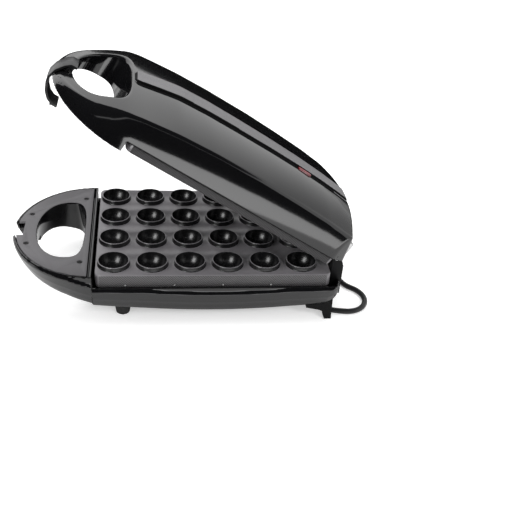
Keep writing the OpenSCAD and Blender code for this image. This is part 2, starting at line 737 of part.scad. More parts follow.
module upper_housing() color([0.09, 0.09, 0.1]) at_lid() {
  boss_z = rim_z + closing_gap + plate_post_l + fit;
  difference() {
    union() {
      upper_handle_loft(0, lid_handle_z);
      upper_body_loft(0, lid_bottom, handle_root);
    }
    difference() {
      upper_handle_loft(wall, lid_handle_z - 1);
      translate([-200, handle_root - bay_wall, 0]) cube([400, 20, 300]);
      translate([-nose_half_w - wall, upper_tip - 1, lid_handle_z + cover_t + fit])
        cube([2 * (nose_half_w + wall), 24, 100]);
      translate([0, 0, lid_handle_z + cover_t + fit]) linear_extrude(100) polygon(opening_points(wall));
      handle_bosses(upper_places, lid_handle_z + cover_t + fit, lid_handle_z + 100, 4);
    }
    difference() {
      upper_body_loft(wall, lid_bottom - 1, handle_root + eps);
      at_points(post_xs, plate_post_ys, boss_z) cylinder(h = 60, r = boss_r);
      both_sides()
        translate([post_x - bracket_half_w - 1, hinge_y - eye_r, hinge_z + bracket_h + fit])
          cube([2 * bracket_half_w + 2, 2 * eye_r, 60]);
    }
    translate([0, 0, lid_handle_z - 10]) linear_extrude(200) polygon(opening_points(0));
    at_points(post_xs, plate_post_ys, boss_z - 1) cylinder(h = 11, r = screw_r + 0.15);
    translate([0, 0, lid_handle_z - 20 + cover_t + fit])
      linear_extrude(20) polygon(handle_outline(upper_handle_l, lip_half_w - 1, wall - fit));
    handle_bosses(upper_places, lid_handle_z, lid_handle_z + 9, screw_r);
    translate([0, 0, lid_bottom - 1])
      round_box(plate_half_w + fit, plate_front - fit, plate_rear + fit, plate_corner_r + fit,
        rim_z + closing_gap + upper_band_rise + fit - lid_bottom + 1);
    spine(fit);
    both_sides()
      translate([post_x - post_w / 2 - ear_t - 2, plate_rear + 2, lid_bottom - 2])
        cube([post_w + 2 * ear_t + 4, 40, rim_z + post_slot_rise + 2 - lid_bottom]);
    both_sides()
      translate([post_x - bracket_half_w - fit, hinge_y - eye_r, hinge_z])
        cube([2 * bracket_half_w + 2 * fit, 2 * eye_r, bracket_h + fit]);
    side_profile(strap_space(), -latch_slot, latch_slot);
    translate([-latch_slot, latch_y, latch_z]) rotate([0, 90, 0])
      cylinder(h = 2 * latch_slot, r = latch_eye_r + 0.5);
    translate([-latch_pin_half, latch_y, latch_z]) rotate([0, 90, 0])
      cylinder(h = 2 * latch_pin_half, r = latch_pin_r + 0.1);
    translate([spine_half_w - 4.6, lamp_y - 8.6, rim_z + lid_h - 8]) cube([7.2, 17.2, 20]);
  }
}

spine_start = handle_root - 9;
spine_end = lid_end - 6;
spine_fs = [0, 0.01, 0.03, 0.1, 0.2, 0.35, 0.5, 0.65, 0.8, 0.9, 0.96, 0.99, 1];

// The strip along the lid's middle, let into the lid's top, grown by grow
module spine(grow) {
  ys = [for (f = spine_fs) mix(spine_start - grow, spine_end + grow, f)];
  loft(ys, [for (i = [0:len(ys) - 1])
    let (f = spine_fs[i], top = lid_top(ys[i]) + min(spine_h, 0.6 + 60 * f, 0.6 + 60 * (1 - f)),
      w = mix(spine_half_w, spine_half_w - 3, f) * (1 - 0.35 * pow(1 - min(1, f * 30), 2)),
      low = lid_top(ys[i]) - 1.2 - grow)
    [[w + grow, low], [-w - grow, low], [-w - grow, top - 0.8], [-w + 0.8 - grow, top + grow],
      [w - 0.8 + grow, top + grow], [w + grow, top - 0.8]]]);
}

module spine_trim() color([0.2, 0.19, 0.21]) at_lid() {
  difference() {
    spine(0);
    translate([spine_half_w - 4.6, lamp_y - 8.6, rim_z]) cube([7.2, 17.2, lid_h + 20]);
  }
}

module upper_handle_cover() color([0.1, 0.1, 0.11]) at_lid() {
  difference() {
    translate([0, 0, lid_handle_z + cover_t])
      mirror([0, 0, 1]) cover_plate(upper_outline, upper_places);
    side_profile(strap_space(), -latch_slot, latch_slot);
    translate([-latch_slot, latch_y, latch_z]) rotate([0, 90, 0])
      cylinder(h = 2 * latch_slot, r = latch_eye_r + 0.5);
  }
}

module upper_cover_screws() color([0.25, 0.25, 0.26]) at_lid() {
  for (p = upper_places) {
    translate([p[0], p[1], lid_handle_z + cover_t]) mirror([0, 0, 1]) cover_screw();
  }
}

module upper_plate_screws() color([0.7, 0.7, 0.7]) over_rims()
  at_points(post_xs, plate_post_ys, 0) {
    translate([0, 0, -rim_rise - 1.3]) cylinder(h = 1.2, r = screw_head_r);
    translate([0, 0, -plate_post_l - 9]) cylinder(h = plate_post_l + 9 - rim_rise - 1.2, r = screw_r);
  }

lamp_y = 75;

module indicator_lens() color([0.75, 0.05, 0.05]) at_lid() {
  translate([spine_half_w - 4.3, lamp_y - 8.3, rim_z + lid_h - 7]) cube([6.6, 16.6, 8.6]);
}

module lamp_holder() color([0.9, 0.89, 0.85]) at_lid()
  translate([spine_half_w - 1, lamp_y, rim_z + lid_h - 7.3]) {
    translate([-3, -8, -2]) cube([6, 16, 2]);
    translate([0, -6, -5]) rotate([-90, 0, 0]) cylinder(h = 12, r = 2.9);
  }

bracket_h = 20;
bracket_half_w = post_w / 2 + 0.6 + ear_t;

module hinge_brackets() color([0.7, 0.7, 0.72]) at_lid() {
  both_sides()
    translate([post_x, hinge_y, hinge_z]) {
      for (side = [-1, 1]) {
        translate([side * (post_w / 2 + 0.6 + ear_t / 2) - ear_t / 2, 0, 0])
          difference() {
            union() {
              rotate([0, 90, 0]) cylinder(h = ear_t, r = eye_r - 0.4);
              translate([0, -eye_r + 0.4, 0]) cube([ear_t, 2 * eye_r - 0.8, bracket_h]);
            }
            translate([-1, 0, 0]) rotate([0, 90, 0]) cylinder(h = ear_t + 2, r = pin_r + pin_clear);
          }
      }
      translate([-bracket_half_w, -eye_r + 0.4, bracket_h - ear_t])
        cube([2 * bracket_half_w, 2 * eye_r - 0.8, ear_t]);
    }
}

// ---- Latch ----

// Inner line of the strap from the clip's eye over the handle's tip to the hook
function strap_line(out) = [
  [latch_y + 5.5, latch_z + 5.2 + out], [latch_y - 1, latch_z + 4.9 + out],
  [latch_y - 5 - 0.5 * out, latch_z + 0.5 + out], [upper_tip + 3 - 0.9 * out, latch_z - 7 + 0.5 * out],
  [upper_tip + 0.8 - out, rim_z - 4], [upper_tip + 1.8 - out, rim_z - 11],
  [upper_tip + 5 - 0.8 * out, rim_z - 18 - 0.6 * out],
  [upper_tip + 9.5 - 0.5 * out, rim_z - 23.5 - 0.8 * out], [upper_tip + 15, rim_z - 26.5 - out],
  [upper_tip + 20.5, rim_z - 26.5 - out]
];

function strap_profile() = concat(strap_line(0),
  [for (i = [len(strap_line(0)) - 1:-1:0]) strap_line(strap_t)[i]]);

// Space in front of the lid's handle that the clip sweeps
function strap_space() = [
  [latch_y + 9, latch_z + 40], [latch_y + 9, latch_z + 1], [latch_y, latch_z + 0.5],
  [latch_y, latch_z + 4.6], [latch_y - 4.6, latch_z + 0.2], [upper_tip + 3.3, latch_z - 7.2],
  [upper_tip + 1.3, rim_z - 4], [upper_tip + 1.3, rim_z - 40], [upper_tip - 20, rim_z - 40],
  [upper_tip - 20, latch_z + 40]
];

latch_pin_half = latch_slot + 4;

module latch_clip() color([0.14, 0.14, 0.15]) at_lid() {
  difference() {
    union() {
      side_profile(strap_profile(), -latch_w / 2, latch_w / 2);
      side_profile([
        [upper_tip + 13, rim_z - 27.5], [upper_tip + 17, rim_z - 27.5],
        [upper_tip + 15.5, rim_z - 33], [upper_tip + 14, rim_z - 33]
      ], -4, 4);
      translate([-latch_w / 2, latch_y, latch_z]) rotate([0, 90, 0])
        cylinder(h = latch_w, r = latch_eye_r);
      side_profile([
        [latch_y - 2.5, latch_z], [latch_y + 2.5, latch_z],
        [latch_y + 3.5, latch_z + 5.5], [latch_y - 1.5, latch_z + 5.5]
      ], -latch_w / 2, latch_w / 2);
    }
    translate([-latch_w, latch_y, latch_z]) rotate([0, 90, 0])
      cylinder(h = 2 * latch_w, r = latch_pin_r + pin_clear);
    translate([-3.6, latch_y, latch_z]) rotate([0, 90, 0])
      cylinder(h = 7.2, r = latch_eye_r + 0.4);
  }
}

module latch_pin() color([0.75, 0.75, 0.77]) at_lid()
  translate([-latch_pin_half + 0.1, latch_y, latch_z]) rotate([0, 90, 0])
    cylinder(h = 2 * latch_pin_half - 0.2, r = latch_pin_r);

module latch_spring() color([0.6, 0.6, 0.62]) at_lid()
  for (i = [-2:2]) {
    translate([1.3 * i, latch_y, latch_z]) rotate([0, 90, 0])
      rotate_extrude() translate([latch_pin_r + 0.8, 0]) circle(0.5, $fn = 16);
  }

// ---- Lead ----

gland_y = 124;
gland_l = 24;
gland_z = 9;
cord_z = cord_r + 0.05;
out_turn = 25;

// A left or right bend on the floor: centre, radius, first and last angle
function bend(c, r, a0, a1, n) = [for (i = [1:n - 1])
  let (a = a0 + (a1 - a0) * i / n) [c[0] + r * cos(a), c[1] + r * sin(a), cord_z]];

route_out = concat(
  [[20, gland_y, 7.2], [28, gland_y, 5.6], [37, gland_y, 4], [46, gland_y, cord_z]],
  [[52.5, gland_y, cord_z]], bend([52.5, 149], out_turn, -90, -12, 7),
  [[77, 143.8, cord_z], [78.4, 150, cord_z], [79.4, 156, cord_z]],
  bend([54.7, 160], out_turn, -9, 150, 12),
  [[30, 170, cord_z], [24, 166.2, cord_z], [17, 163.8, cord_z], [8, 162, cord_z], [-10, 160.5, cord_z], [-35, 159, cord_z],
   [-60, 157.5, cord_z], [-85, 155, cord_z], [-110, 153, cord_z], [-128, 152.2, cord_z]]
);

route_plug = [
  [coil_x - 32, coil_y - 17, 9.4], [coil_x - 25.5, coil_y - 25.5, 9.4],
  [coil_x - 18, coil_y - 33, 9.4], [coil_x - 10, coil_y - 41, 9], [coil_x - 2, coil_y - 49, 8.2],
  [coil_x + 4, coil_y - 55, 8]
];

function unit(v) = v / norm(v);

// A round tube along a route, as one closed polyhedron
module sweep(route, r, sides) {
  n = len(route);
  rings = [for (i = [0:n - 1])
    let (t = unit(route[min(i + 1, n - 1)] - route[max(i - 1, 0)]),
      u = unit(cross([0, 0, 1], t)), v = cross(t, u))
    for (k = [0:sides - 1]) route[i] + r * (cos(360 * k / sides) * u + sin(360 * k / sides) * v)];
  walls = [for (i = [0:n - 2]) for (k = [0:sides - 1])
    let (a = i * sides + k, b = i * sides + (k + 1) % sides)
    for (f = [[a, a + sides, b], [b, a + sides, b + sides]]) f];
  ends = [[for (k = [0:sides - 1]) k], [for (k = [sides - 1:-1:0]) (n - 1) * sides + k]];
  polyhedron(points = rings, faces = concat(walls, ends));
}

module power_cord() color([0.05, 0.05, 0.05]) at_base() {
  sweep(route_out, cord_r, 10);
  sweep(route_plug, cord_r, 10);
}

module cord_coil() color([0.05, 0.05, 0.05]) at_base()
  translate([coil_x, coil_y, 0])
    rotate_extrude() {
      translate([coil_r - coil_turns / 2 * cord_d, 0.05]) square([coil_turns * cord_d, cord_d]);
      translate([coil_r - cord_r, cord_d]) square([cord_d, cord_d]);
    }

module coil_tie() color([0.15, 0.15, 0.15]) at_base()
  translate([coil_x, coil_y + coil_r, 0])
    difference() {
      translate([-3, -coil_turns / 2 * cord_d - 1.4, 0])
        cube([6, coil_turns * cord_d + 2.8, 2 * cord_d + 1.4]);
      translate([-4, -coil_turns / 2 * cord_d - 0.4, -1])
        cube([8, coil_turns * cord_d + 0.8, 2 * cord_d + 1.4]);
    }

module cord_gland() color([0.06, 0.06, 0.06]) at_base() {
  top = under_at(gland_y - 8) - 0.1;
  translate([-20, gland_y - 8, 3.4]) cube([14, 16, top - 3.4]);
  translate([-6, gland_y, gland_z]) rotate([0, 94, 0]) cylinder(h = gland_l + 1.6, r1 = 5, r2 = 3.6);
}

module plug_body() color([0.05, 0.05, 0.05]) at_base()
  translate([coil_x + 4, coil_y - 55, 8])
    rotate([0, 0, -45]) {
      translate([0, 0, 0]) rotate([0, 90, 0]) cylinder(h = 16, r1 = 4, r2 = 6.4);
      translate([14, -13, -7.9]) cube([26, 26, 15.8]);
      translate([14, -17, -5]) cube([26, 34, 10]);
    }

module plug_pins() color([0.8, 0.8, 0.8]) at_base()
  translate([coil_x + 4, coil_y - 55, 8])
    rotate([0, 0, -45])
      for (y = [-9.5, 9.5]) {
        translate([40.05, y, 0]) rotate([0, 90, 0]) cylinder(h = 18, r = 2.4);
      }

lower_housing();
lower_handle_cover();
lower_cover_screws();
lower_plate();
band_pins();
lower_heating_tube();
lower_tube_clips();
lower_heat_shield();
lower_shield_screws();
thermostat();
thermal_fuse();
lower_plate_screws();
terminal_block();
lower_wiring();
front_feet();
rear_legs();
hinge_posts();
hinge_pins();
upper_housing();
spine_trim();
upper_handle_cover();
upper_cover_screws();
upper_plate();
upper_heating_tube();
upper_tube_clips();
upper_heat_shield();
upper_shield_screws();
upper_plate_screws();
upper_wiring();
indicator_lens();
lamp_holder();
hinge_brackets();
latch_clip();
latch_pin();
latch_spring();
cord_gland();
power_cord();
cord_coil();
coil_tie();
plug_body();
plug_pins();
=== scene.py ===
import math

import bmesh
import bpy
import numpy as np
from mathutils import Matrix, Vector
from mathutils.geometry import delaunay_2d_cdt


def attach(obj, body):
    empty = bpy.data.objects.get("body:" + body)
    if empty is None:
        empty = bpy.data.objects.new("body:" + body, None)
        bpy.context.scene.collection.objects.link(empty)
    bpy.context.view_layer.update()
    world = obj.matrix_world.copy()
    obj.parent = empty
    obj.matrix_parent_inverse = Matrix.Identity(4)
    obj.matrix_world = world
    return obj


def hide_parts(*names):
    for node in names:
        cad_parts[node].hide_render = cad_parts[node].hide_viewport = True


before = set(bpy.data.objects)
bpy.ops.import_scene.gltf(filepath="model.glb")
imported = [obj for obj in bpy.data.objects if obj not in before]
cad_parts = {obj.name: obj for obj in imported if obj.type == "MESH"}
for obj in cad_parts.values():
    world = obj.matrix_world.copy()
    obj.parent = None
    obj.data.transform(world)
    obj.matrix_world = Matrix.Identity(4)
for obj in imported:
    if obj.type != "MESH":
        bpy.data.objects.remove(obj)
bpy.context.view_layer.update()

# ---------------------------------------------------------------- sizes, in millimetres
#
# Places run from the middle of the grid of cups, along the table. The lid's pieces are given with it shut.
RIM = 68.0  # height of the lower cups' rims
GRID_Y = 24.745  # from the middle of the cups to the frame's origin
HINGE_Y = 137.0
HINGE_Z = 79.0
OPEN = math.radians(31.4)  # how far the lid stands open
ROOT = -122.0  # where the handles leave the body
CUP_X = [-70.8, -23.6, 23.6, 70.8]
CUP_Y = [-100, -60, -20, 20, 60, 100]
BOWL = 15.4  # radius of a cup
WALL = 2.5  # thickness of the shells
RECESS = 7.0  # depth of the hollow in each handle, under the plate that closes it
MERGE = 2e-6  # metres between corners that are one


def base_place(p):
    """Points of the base, from the middle of the cups, into the scene."""
    q = np.array(p, dtype=float).reshape(-1, 3)
    q[:, 1] += GRID_Y
    return q / 1000


def lid_place(p):
    """Points of the shut lid, from the middle of the cups, into the open lid in the scene."""
    q = np.array(p, dtype=float).reshape(-1, 3)
    y = q[:, 1] - HINGE_Y
    z = q[:, 2] - HINGE_Z
    c, s = math.cos(OPEN), math.sin(OPEN)
    q[:, 1], q[:, 2] = HINGE_Y + c * y + s * z + GRID_Y, HINGE_Z - s * y + c * z
    return q / 1000


# ---------------------------------------------------------------- camera
camera = bpy.data.objects.new("studio_camera", bpy.data.cameras.new("studio_camera"))
bpy.context.collection.objects.link(camera)
camera.data.sensor_width = 36
camera.data.lens = 54.035
camera.data.clip_start = 0.01
camera.matrix_world = Matrix((
    (0.128014, -0.544729, 0.828784, 0.7492),
    (0.988431, 0.001538, -0.151662, -0.0752 + GRID_Y / 1000),
    (0.081340, 0.838611, 0.538624, 0.5144),
    (0, 0, 0, 1),
))
bpy.context.scene.camera = camera
bpy.context.scene.view_settings.view_transform = "Standard"

# ---------------------------------------------------------------- materials
COAT_ROUGH = 0.05
CLOUD_SCALE = 14  # of the slow change in colour
SHADE_SPREAD = 0.16  # how far the colour strays to each side, as a share of it
RELIEF = 0.0003  # metres, at a strength of 1


def finish(name, color, rough, metallic=0.0, coat=0.0, bump=0.0, scale=400.0, rough_spread=0.08,
           specular=0.5, stretch=(1, 1, 1)):
    """A moulded, cast or drawn surface: a cloudy colour, with a fine grain in its roughness and relief."""
    m = bpy.data.materials.new(name)
    m.use_nodes = True
    t = m.node_tree
    shader = t.nodes["Principled BSDF"]
    shader.inputs["Metallic"].default_value = metallic
    shader.inputs["Coat Weight"].default_value = coat
    shader.inputs["Coat Roughness"].default_value = COAT_ROUGH
    shader.inputs["Specular IOR Level"].default_value = specular
    where = t.nodes.new("ShaderNodeTexCoord")
    turn = t.nodes.new("ShaderNodeMapping")
    turn.inputs["Scale"].default_value = stretch
    grain = t.nodes.new("ShaderNodeTexNoise")
    grain.inputs["Scale"].default_value = scale
    grain.inputs["Detail"].default_value = 4
    cloud = t.nodes.new("ShaderNodeTexNoise")
    cloud.inputs["Scale"].default_value = CLOUD_SCALE
    cloud.inputs["Detail"].default_value = 3
    shade = t.nodes.new("ShaderNodeMix")
    shade.data_type = "RGBA"
    shade.inputs[6].default_value = (*[c * (1 - SHADE_SPREAD) for c in color], 1)
    shade.inputs[7].default_value = (*[c * (1 + SHADE_SPREAD) for c in color], 1)
    gloss = t.nodes.new("ShaderNodeMapRange")
    gloss.inputs["To Min"].default_value = max(0.02, rough - rough_spread)
    gloss.inputs["To Max"].default_value = min(1.0, rough + rough_spread)
    relief = t.nodes.new("ShaderNodeBump")
    relief.inputs["Strength"].default_value = bump
    relief.inputs["Distance"].default_value = RELIEF
    t.links.new(where.outputs["Object"], turn.inputs["Vector"])
    t.links.new(turn.outputs["Vector"], grain.inputs["Vector"])
    t.links.new(where.outputs["Object"], cloud.inputs["Vector"])
    t.links.new(cloud.outputs["Fac"], shade.inputs[0])
    t.links.new(shade.outputs[2], shader.inputs["Base Color"])
    t.links.new(grain.outputs["Fac"], gloss.inputs["Value"])
    t.links.new(gloss.outputs["Result"], shader.inputs["Roughness"])
    t.links.new(grain.outputs["Fac"], relief.inputs["Height"])
    t.links.new(relief.outputs["Normal"], shader.inputs["Normal"])
    return m


# mouldings
gloss_black = finish("gloss_black_plastic", (0.004, 0.004, 0.0045), 0.10, bump=0.015, scale=900,
                     rough_spread=0.03, specular=0.7)
satin_black = finish("satin_black_plastic", (0.009, 0.009, 0.01), 0.34, bump=0.12, scale=1500)
satin_grey = finish("satin_grey_plastic", (0.1, 0.097, 0.102), 0.42, bump=0.10, scale=1600)
leg_black = finish("moulded_black", (0.005, 0.005, 0.0055), 0.42, bump=0.15, scale=1500, specular=0.12)
# painted light on the lid's strip: the black of its sides and of the low margin beside it is painted shade
# of a groove, and the grey of its top is painted sheen
strip_side_shade = finish("strip_side_black", (0.004, 0.004, 0.004), 0.5, bump=0.1, scale=1500, specular=0.06)
strip_top_sheen = finish("strip_top_grey", (0.2, 0.196, 0.203), 0.36, bump=0.1, scale=1300)
lens_red = finish("red_lens", (0.16, 0.006, 0.012), 0.18, bump=0.02, scale=500, coat=0.6)
foot_rubber = finish("foot_rubber", (0.02, 0.02, 0.02), 0.6, bump=0.3, scale=1400)
cord_skin = finish("cord_rubber", (0.014, 0.014, 0.015), 0.45, bump=0.15, scale=1200)

# baking plates
coating = finish("non_stick_coating", (0.162, 0.155, 0.164), 0.30, bump=0.22, scale=1100, specular=0.6)
# the cups' finish: the same coating, smoother, with its colour painted near black as shade in the bowls and
# on the rims' outer walls
cup_gloss_and_shade = finish("cup_gloss_and_shade", (0.006, 0.006, 0.0065), 0.26, bump=0.08, scale=900, rough_spread=0.04)
band_grey = finish("band_grey", (0.125, 0.121, 0.125), 0.42, bump=0.15, scale=1100)
# painted shade: the lid's band is the same casting as the base's band, in a darker copy of its colour
lid_band_painted_shade = finish("lid_band_painted_shade", (0.055, 0.053, 0.055), 0.45, bump=0.15, scale=1100, specular=0.25)

# metal and ceramic
steel = finish("plain_steel", (0.55, 0.55, 0.55), 0.28, metallic=1, bump=0.05, scale=700)
dark_steel = finish("black_screw_steel", (0.03, 0.03, 0.03), 0.35, metallic=0.6, bump=0.05, scale=900)
heater = finish("oxidised_heater", (0.22, 0.19, 0.17), 0.5, metallic=0.8, bump=0.2, scale=700)
bright_sheet = finish("aluminium_sheet", (0.7, 0.7, 0.71), 0.3, metallic=1, bump=0.08, scale=500,
                      stretch=(1, 20, 1))
nickel = finish("nickel", (0.7, 0.68, 0.64), 0.2, metallic=1, bump=0.03, scale=600)
ceramic = finish("ceramic", (0.72, 0.7, 0.64), 0.5, bump=0.2, scale=900)
sleeve = finish("glass_sleeve", (0.6, 0.58, 0.5), 0.75, bump=0.5, scale=1500)


def ribbed(material, spacing, depth, groove_shade):
    """Adds fine slanting ribs to a finish, spacing millimetres apart, as relief, with painted shade in its
    colour between them.
    """
    t = material.node_tree
    shader = t.nodes["Principled BSDF"]
    where = next(n for n in t.nodes if n.type == "TEX_COORD")
    ribs = t.nodes.new("ShaderNodeTexWave")
    ribs.wave_type = "BANDS"
    ribs.bands_direction = "DIAGONAL"
    ribs.inputs["Scale"].default_value = 2 * math.pi / (10 * spacing / 1000)
    ribs.inputs["Distortion"].default_value = 0
    ribs.inputs["Detail"].default_value = 0
    t.links.new(where.outputs["Object"], ribs.inputs["Vector"])
    # painted shade: the colour is darkened by this much in the ribs' grooves, where the relief is low
    groove_shade_mix = t.nodes.new("ShaderNodeMix")
    groove_shade_mix.data_type = "RGBA"
    groove_shade_mix.blend_type = "MULTIPLY"
    groove_shade_mix.inputs[0].default_value = groove_shade
    t.links.new(shader.inputs["Base Color"].links[0].from_socket, groove_shade_mix.inputs[6])
    t.links.new(ribs.outputs["Color"], groove_shade_mix.inputs[7])
    t.links.new(groove_shade_mix.outputs[2], shader.inputs["Base Color"])
    relief = t.nodes.new("ShaderNodeBump")
    relief.inputs["Strength"].default_value = depth
    relief.inputs["Distance"].default_value = RELIEF
    t.links.new(ribs.outputs["Fac"], relief.inputs["Height"])
    t.links.new(shader.inputs["Normal"].links[0].from_socket, relief.inputs["Normal"])
    t.links.new(relief.outputs["Normal"], shader.inputs["Normal"])


# the last number is how far the painted shade between the ribs darkens the colour
ribbed(strip_top_sheen, 1.3, 0.5, 0.45)
ribbed(band_grey, 2.6, 0.8, 0.8)
ribbed(lid_band_painted_shade, 2.6, 0.8, 0.6)

# the solids that show as they are
for nodes, material in (
    (("band_pins", "hinge_pins", "latch_spring", "lower_tube_clips", "upper_tube_clips",
      "lower_shield_screws", "upper_shield_screws", "lower_plate_screws", "upper_plate_screws"), steel),
    (("lower_heating_tube", "upper_heating_tube"), heater),
    (("lower_heat_shield", "upper_heat_shield"), bright_sheet),
    (("thermostat", "thermal_fuse", "terminal_block", "lamp_holder"), ceramic),
    (("lower_wiring", "upper_wiring"), sleeve),
    (("coil_tie",), satin_black),
    (("plug_body",), cord_skin),
    (("plug_pins",), nickel),
):
    for node in nodes:
        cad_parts[node].data.materials.clear()
        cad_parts[node].data.materials.append(material)

# ---------------------------------------------------------------- mains lead, in millimetres
CORD = 6.2
LYING = CORD / 2 + 0.05  # height of its middle line where it lies on the table
LEAD_EXIT = (19.5, 124, 7.25)
COIL_X, COIL_Y = -150.0, 110.0
TURN_GAP = 6.25  # between the middle lines of two turns
SECOND_TURN = 36.0  # its radius; the third turn climbs onto it
FIRST_DROP, SECOND_DROP, DROP_OVER = 300, 660, 60  # degrees after which the coil narrows, and over which
CLIMB, CLIMB_OVER = 900, 120  # the same for the climb of the third turn
COIL_END = 1198


def bend(center, radius, start, end, parts):
    """Points of a bend on the table, without its two ends."""
    angles = [math.radians(start + (end - start) * i / parts) for i in range(1, parts)]
    return [(center[0] + radius * math.cos(a), center[1] + radius * math.sin(a), LYING) for a in angles]


def smooth_step(t):
    """Runs smoothly from 0 to 1 as t does."""
    t = min(max(t, 0.0), 1.0)
    return t * t * (3 - 2 * t)


def coil_point(turned):
    """A point of the coil, turned degrees from where the lead enters it."""
    a = math.radians(90 + turned)
    drops = sum(smooth_step((turned - drop) / DROP_OVER) for drop in (FIRST_DROP, SECOND_DROP))
    radius = SECOND_TURN + CORD - CORD * drops
    height = LYING
    if turned > CLIMB:
        climb = math.radians(90 * smooth_step((turned - CLIMB) / CLIMB_OVER))
        radius = SECOND_TURN - TURN_GAP * math.cos(climb)
        height = LYING + TURN_GAP * math.sin(climb)
    return (COIL_X + radius * math.cos(a), COIL_Y + radius * math.sin(a), height)


route = [LEAD_EXIT, (28, 124, 5.6), (37, 124, 4), (46, 124, LYING), (52.5, 124, LYING)]
route += bend((52.5, 149), 25, -90, -12, 7)
route += [(77, 143.8, LYING), (78.4, 150, LYING), (79.4, 156, LYING)]
route += bend((54.7, 160), 25, -9, 150, 12)
route += [(30, 170, LYING), (24, 166.2, LYING), (17, 163.8, LYING), (8, 162, LYING),
          (-10, 160.5, LYING), (-35, 159, LYING), (-60, 157.5, LYING), (-85, 155, LYING),
          (-110, 153, LYING), (-128, 152.2, LYING)]
route += [coil_point(t) for t in range(0, COIL_END, 15)]
route += [(COIL_X + dx, COIL_Y + dy, z) for dx, dy, z in (
    (-25.5, -25.5, 9.4), (-18, -33, 9.4), (-10, -41, 9), (-2, -49, 8.2), (4, -55, 8))]

lead_curve = bpy.data.curves.new("mains_lead", "CURVE")
lead_curve.dimensions = "3D"
lead_curve.bevel_depth = CORD / 2000
lead_curve.bevel_resolution = 5
lead_curve.resolution_u = 4
lead_curve.use_fill_caps = True
line = lead_curve.splines.new("BEZIER")
line.bezier_points.add(len(route) - 1)
for point, place in zip(line.bezier_points, base_place(route)):
    point.co = place
    point.handle_left_type = point.handle_right_type = "AUTO"
lead_curve.materials.append(cord_skin)
mains_lead = bpy.data.objects.new("mains_lead", lead_curve)
bpy.context.collection.objects.link(mains_lead)
bpy.context.view_layer.update()
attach(mains_lead, "base")
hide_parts("power_cord", "cord_coil")
base_place(LEAD_EXIT)[0]

# ---------------------------------------------------------------- moulded shells
#
# A shell is described by a field: a function of x, y and z, in millimetres, below zero in the plastic.
CELL = 1.7  # spacing of the samples that a skin is taken from
PROBE = 0.05  # distance over which a field's slope is measured
FAR = 99.0  # a field's value where something plays no part


def blend_max(a, b, r):
    """The greater of two fields, with the edge between them rounded over about r."""
    h = np.clip(0.5 + 0.5 * (a - b) / r, 0, 1)
    return b + (a - b) * h + r * h * (1 - h)


def profile_field(points, u, v):
    """Signed distance to a closed outline in the plane of u and v."""
    p = np.array(points, dtype=float)
    best = np.full(u.shape, 1e9)
    inside = np.zeros(u.shape, dtype=bool)
    for a, b in zip(p, np.roll(p, -1, axis=0)):
        e = b - a
        du, dv = u - a[0], v - a[1]
        t = np.clip((du * e[0] + dv * e[1]) / (e @ e), 0, 1)
        best = np.minimum(best, (du - t * e[0]) ** 2 + (dv - t * e[1]) ** 2)
        crosses = (a[1] > v) != (b[1] > v)
        if e[1] != 0:
            inside ^= crosses & (u < a[0] + (v - a[1]) * e[0] / e[1])
    return np.where(inside, -1, 1) * np.sqrt(best)


def smooth_table(knots):
    """A smooth function through a few (place, value) knots."""
    place, value = np.array(knots, dtype=float).T
    fine = np.linspace(place[0], place[-1], 400)
    value = np.interp(fine, place, value)
    reach = 9
    kernel = np.hanning(2 * reach + 1)
    kernel /= kernel.sum()
    before = 2 * value[0] - value[reach:0:-1]
    after = 2 * value[-1] - value[-2:-reach - 2:-1]
    soft = np.convolve(np.concatenate([before, value, after]), kernel, "valid")
    return lambda q: np.interp(q, fine, soft)


def even_field(field):
    """The same surface as a field whose slope is about 1, so that walls come out even."""
    def even(x, y, z):
        h = 0.2
        v = field(x, y, z)
        gx = (field(x + h, y, z) - v) / h
        gy = (field(x, y + h, z) - v) / h
        gz = (field(x, y, z + h) - v) / h
        return v / np.clip(np.sqrt(gx * gx + gy * gy + gz * gz), 0.5, 6)
    return even


def gradient(field, points):
    """The field's slope at each point."""
    steps = PROBE * np.eye(3)
    return np.stack([(field(*(points + h).T) - field(*(points - h).T)) / (2 * PROBE) for h in steps], 1)


def without_pinches(value):
    """Fills squares of four samples with only two opposite corners solid, where a skin meets itself."""
    most_sweeps = 12
    for _ in range(most_sweeps):
        filled = 0
        for axis in range(3):
            u, w = [i for i in range(3) if i != axis]
            corner = {}
            for du, dw in ((0, 0), (1, 0), (0, 1), (1, 1)):
                cut = [slice(None)] * 3
                cut[u] = slice(du, value.shape[u] - 1 + du)
                cut[w] = slice(dw, value.shape[w] - 1 + dw)
                corner[du, dw] = value[tuple(cut)]
            a, b, c, d = (corner[k] < 0 for k in ((0, 0), (1, 0), (0, 1), (1, 1)))
            pinch = (a == d) & (b == c) & (a != b)
            corner[0, 0][pinch & ~a] = -0.01
            corner[1, 0][pinch & a] = -0.01
            filled += pinch.sum()
        if not filled:
            break


def sampled(field, low, high):
    """The field on a grid between two corners, 16 layers at a time."""
    count = np.ceil((np.array(high) - low) / CELL).astype(int) + 1
    axes = [low[i] + CELL * np.arange(count[i]) for i in range(3)]
    value = np.empty(count)
    for k in range(0, count[0], 16):
        value[k:k + 16] = field(*np.meshgrid(axes[0][k:k + 16], axes[1], axes[2], indexing="ij"))
    return value


def crossing_means(value, cells, corners):
    """For each cell, the mean of the places where the surface crosses its twelve edges, in cells."""
    total = np.zeros((len(cells), 3))
    hits = np.zeros(len(cells))
    for axis in range(3):
        step = np.eye(3, dtype=int)[axis]
        for corner in corners:
            if corner[axis]:
                continue
            a = cells + corner
            va = value[tuple(a.T)]
            vb = value[tuple((a + step).T)]
            crossed = (va < 0) != (vb < 0)
            t = np.where(crossed, va / np.where(crossed, va - vb, 1), 0)
            total += np.where(crossed[:, None], a + t[:, None] * step, 0)
            hits += crossed
    return total / hits[:, None]


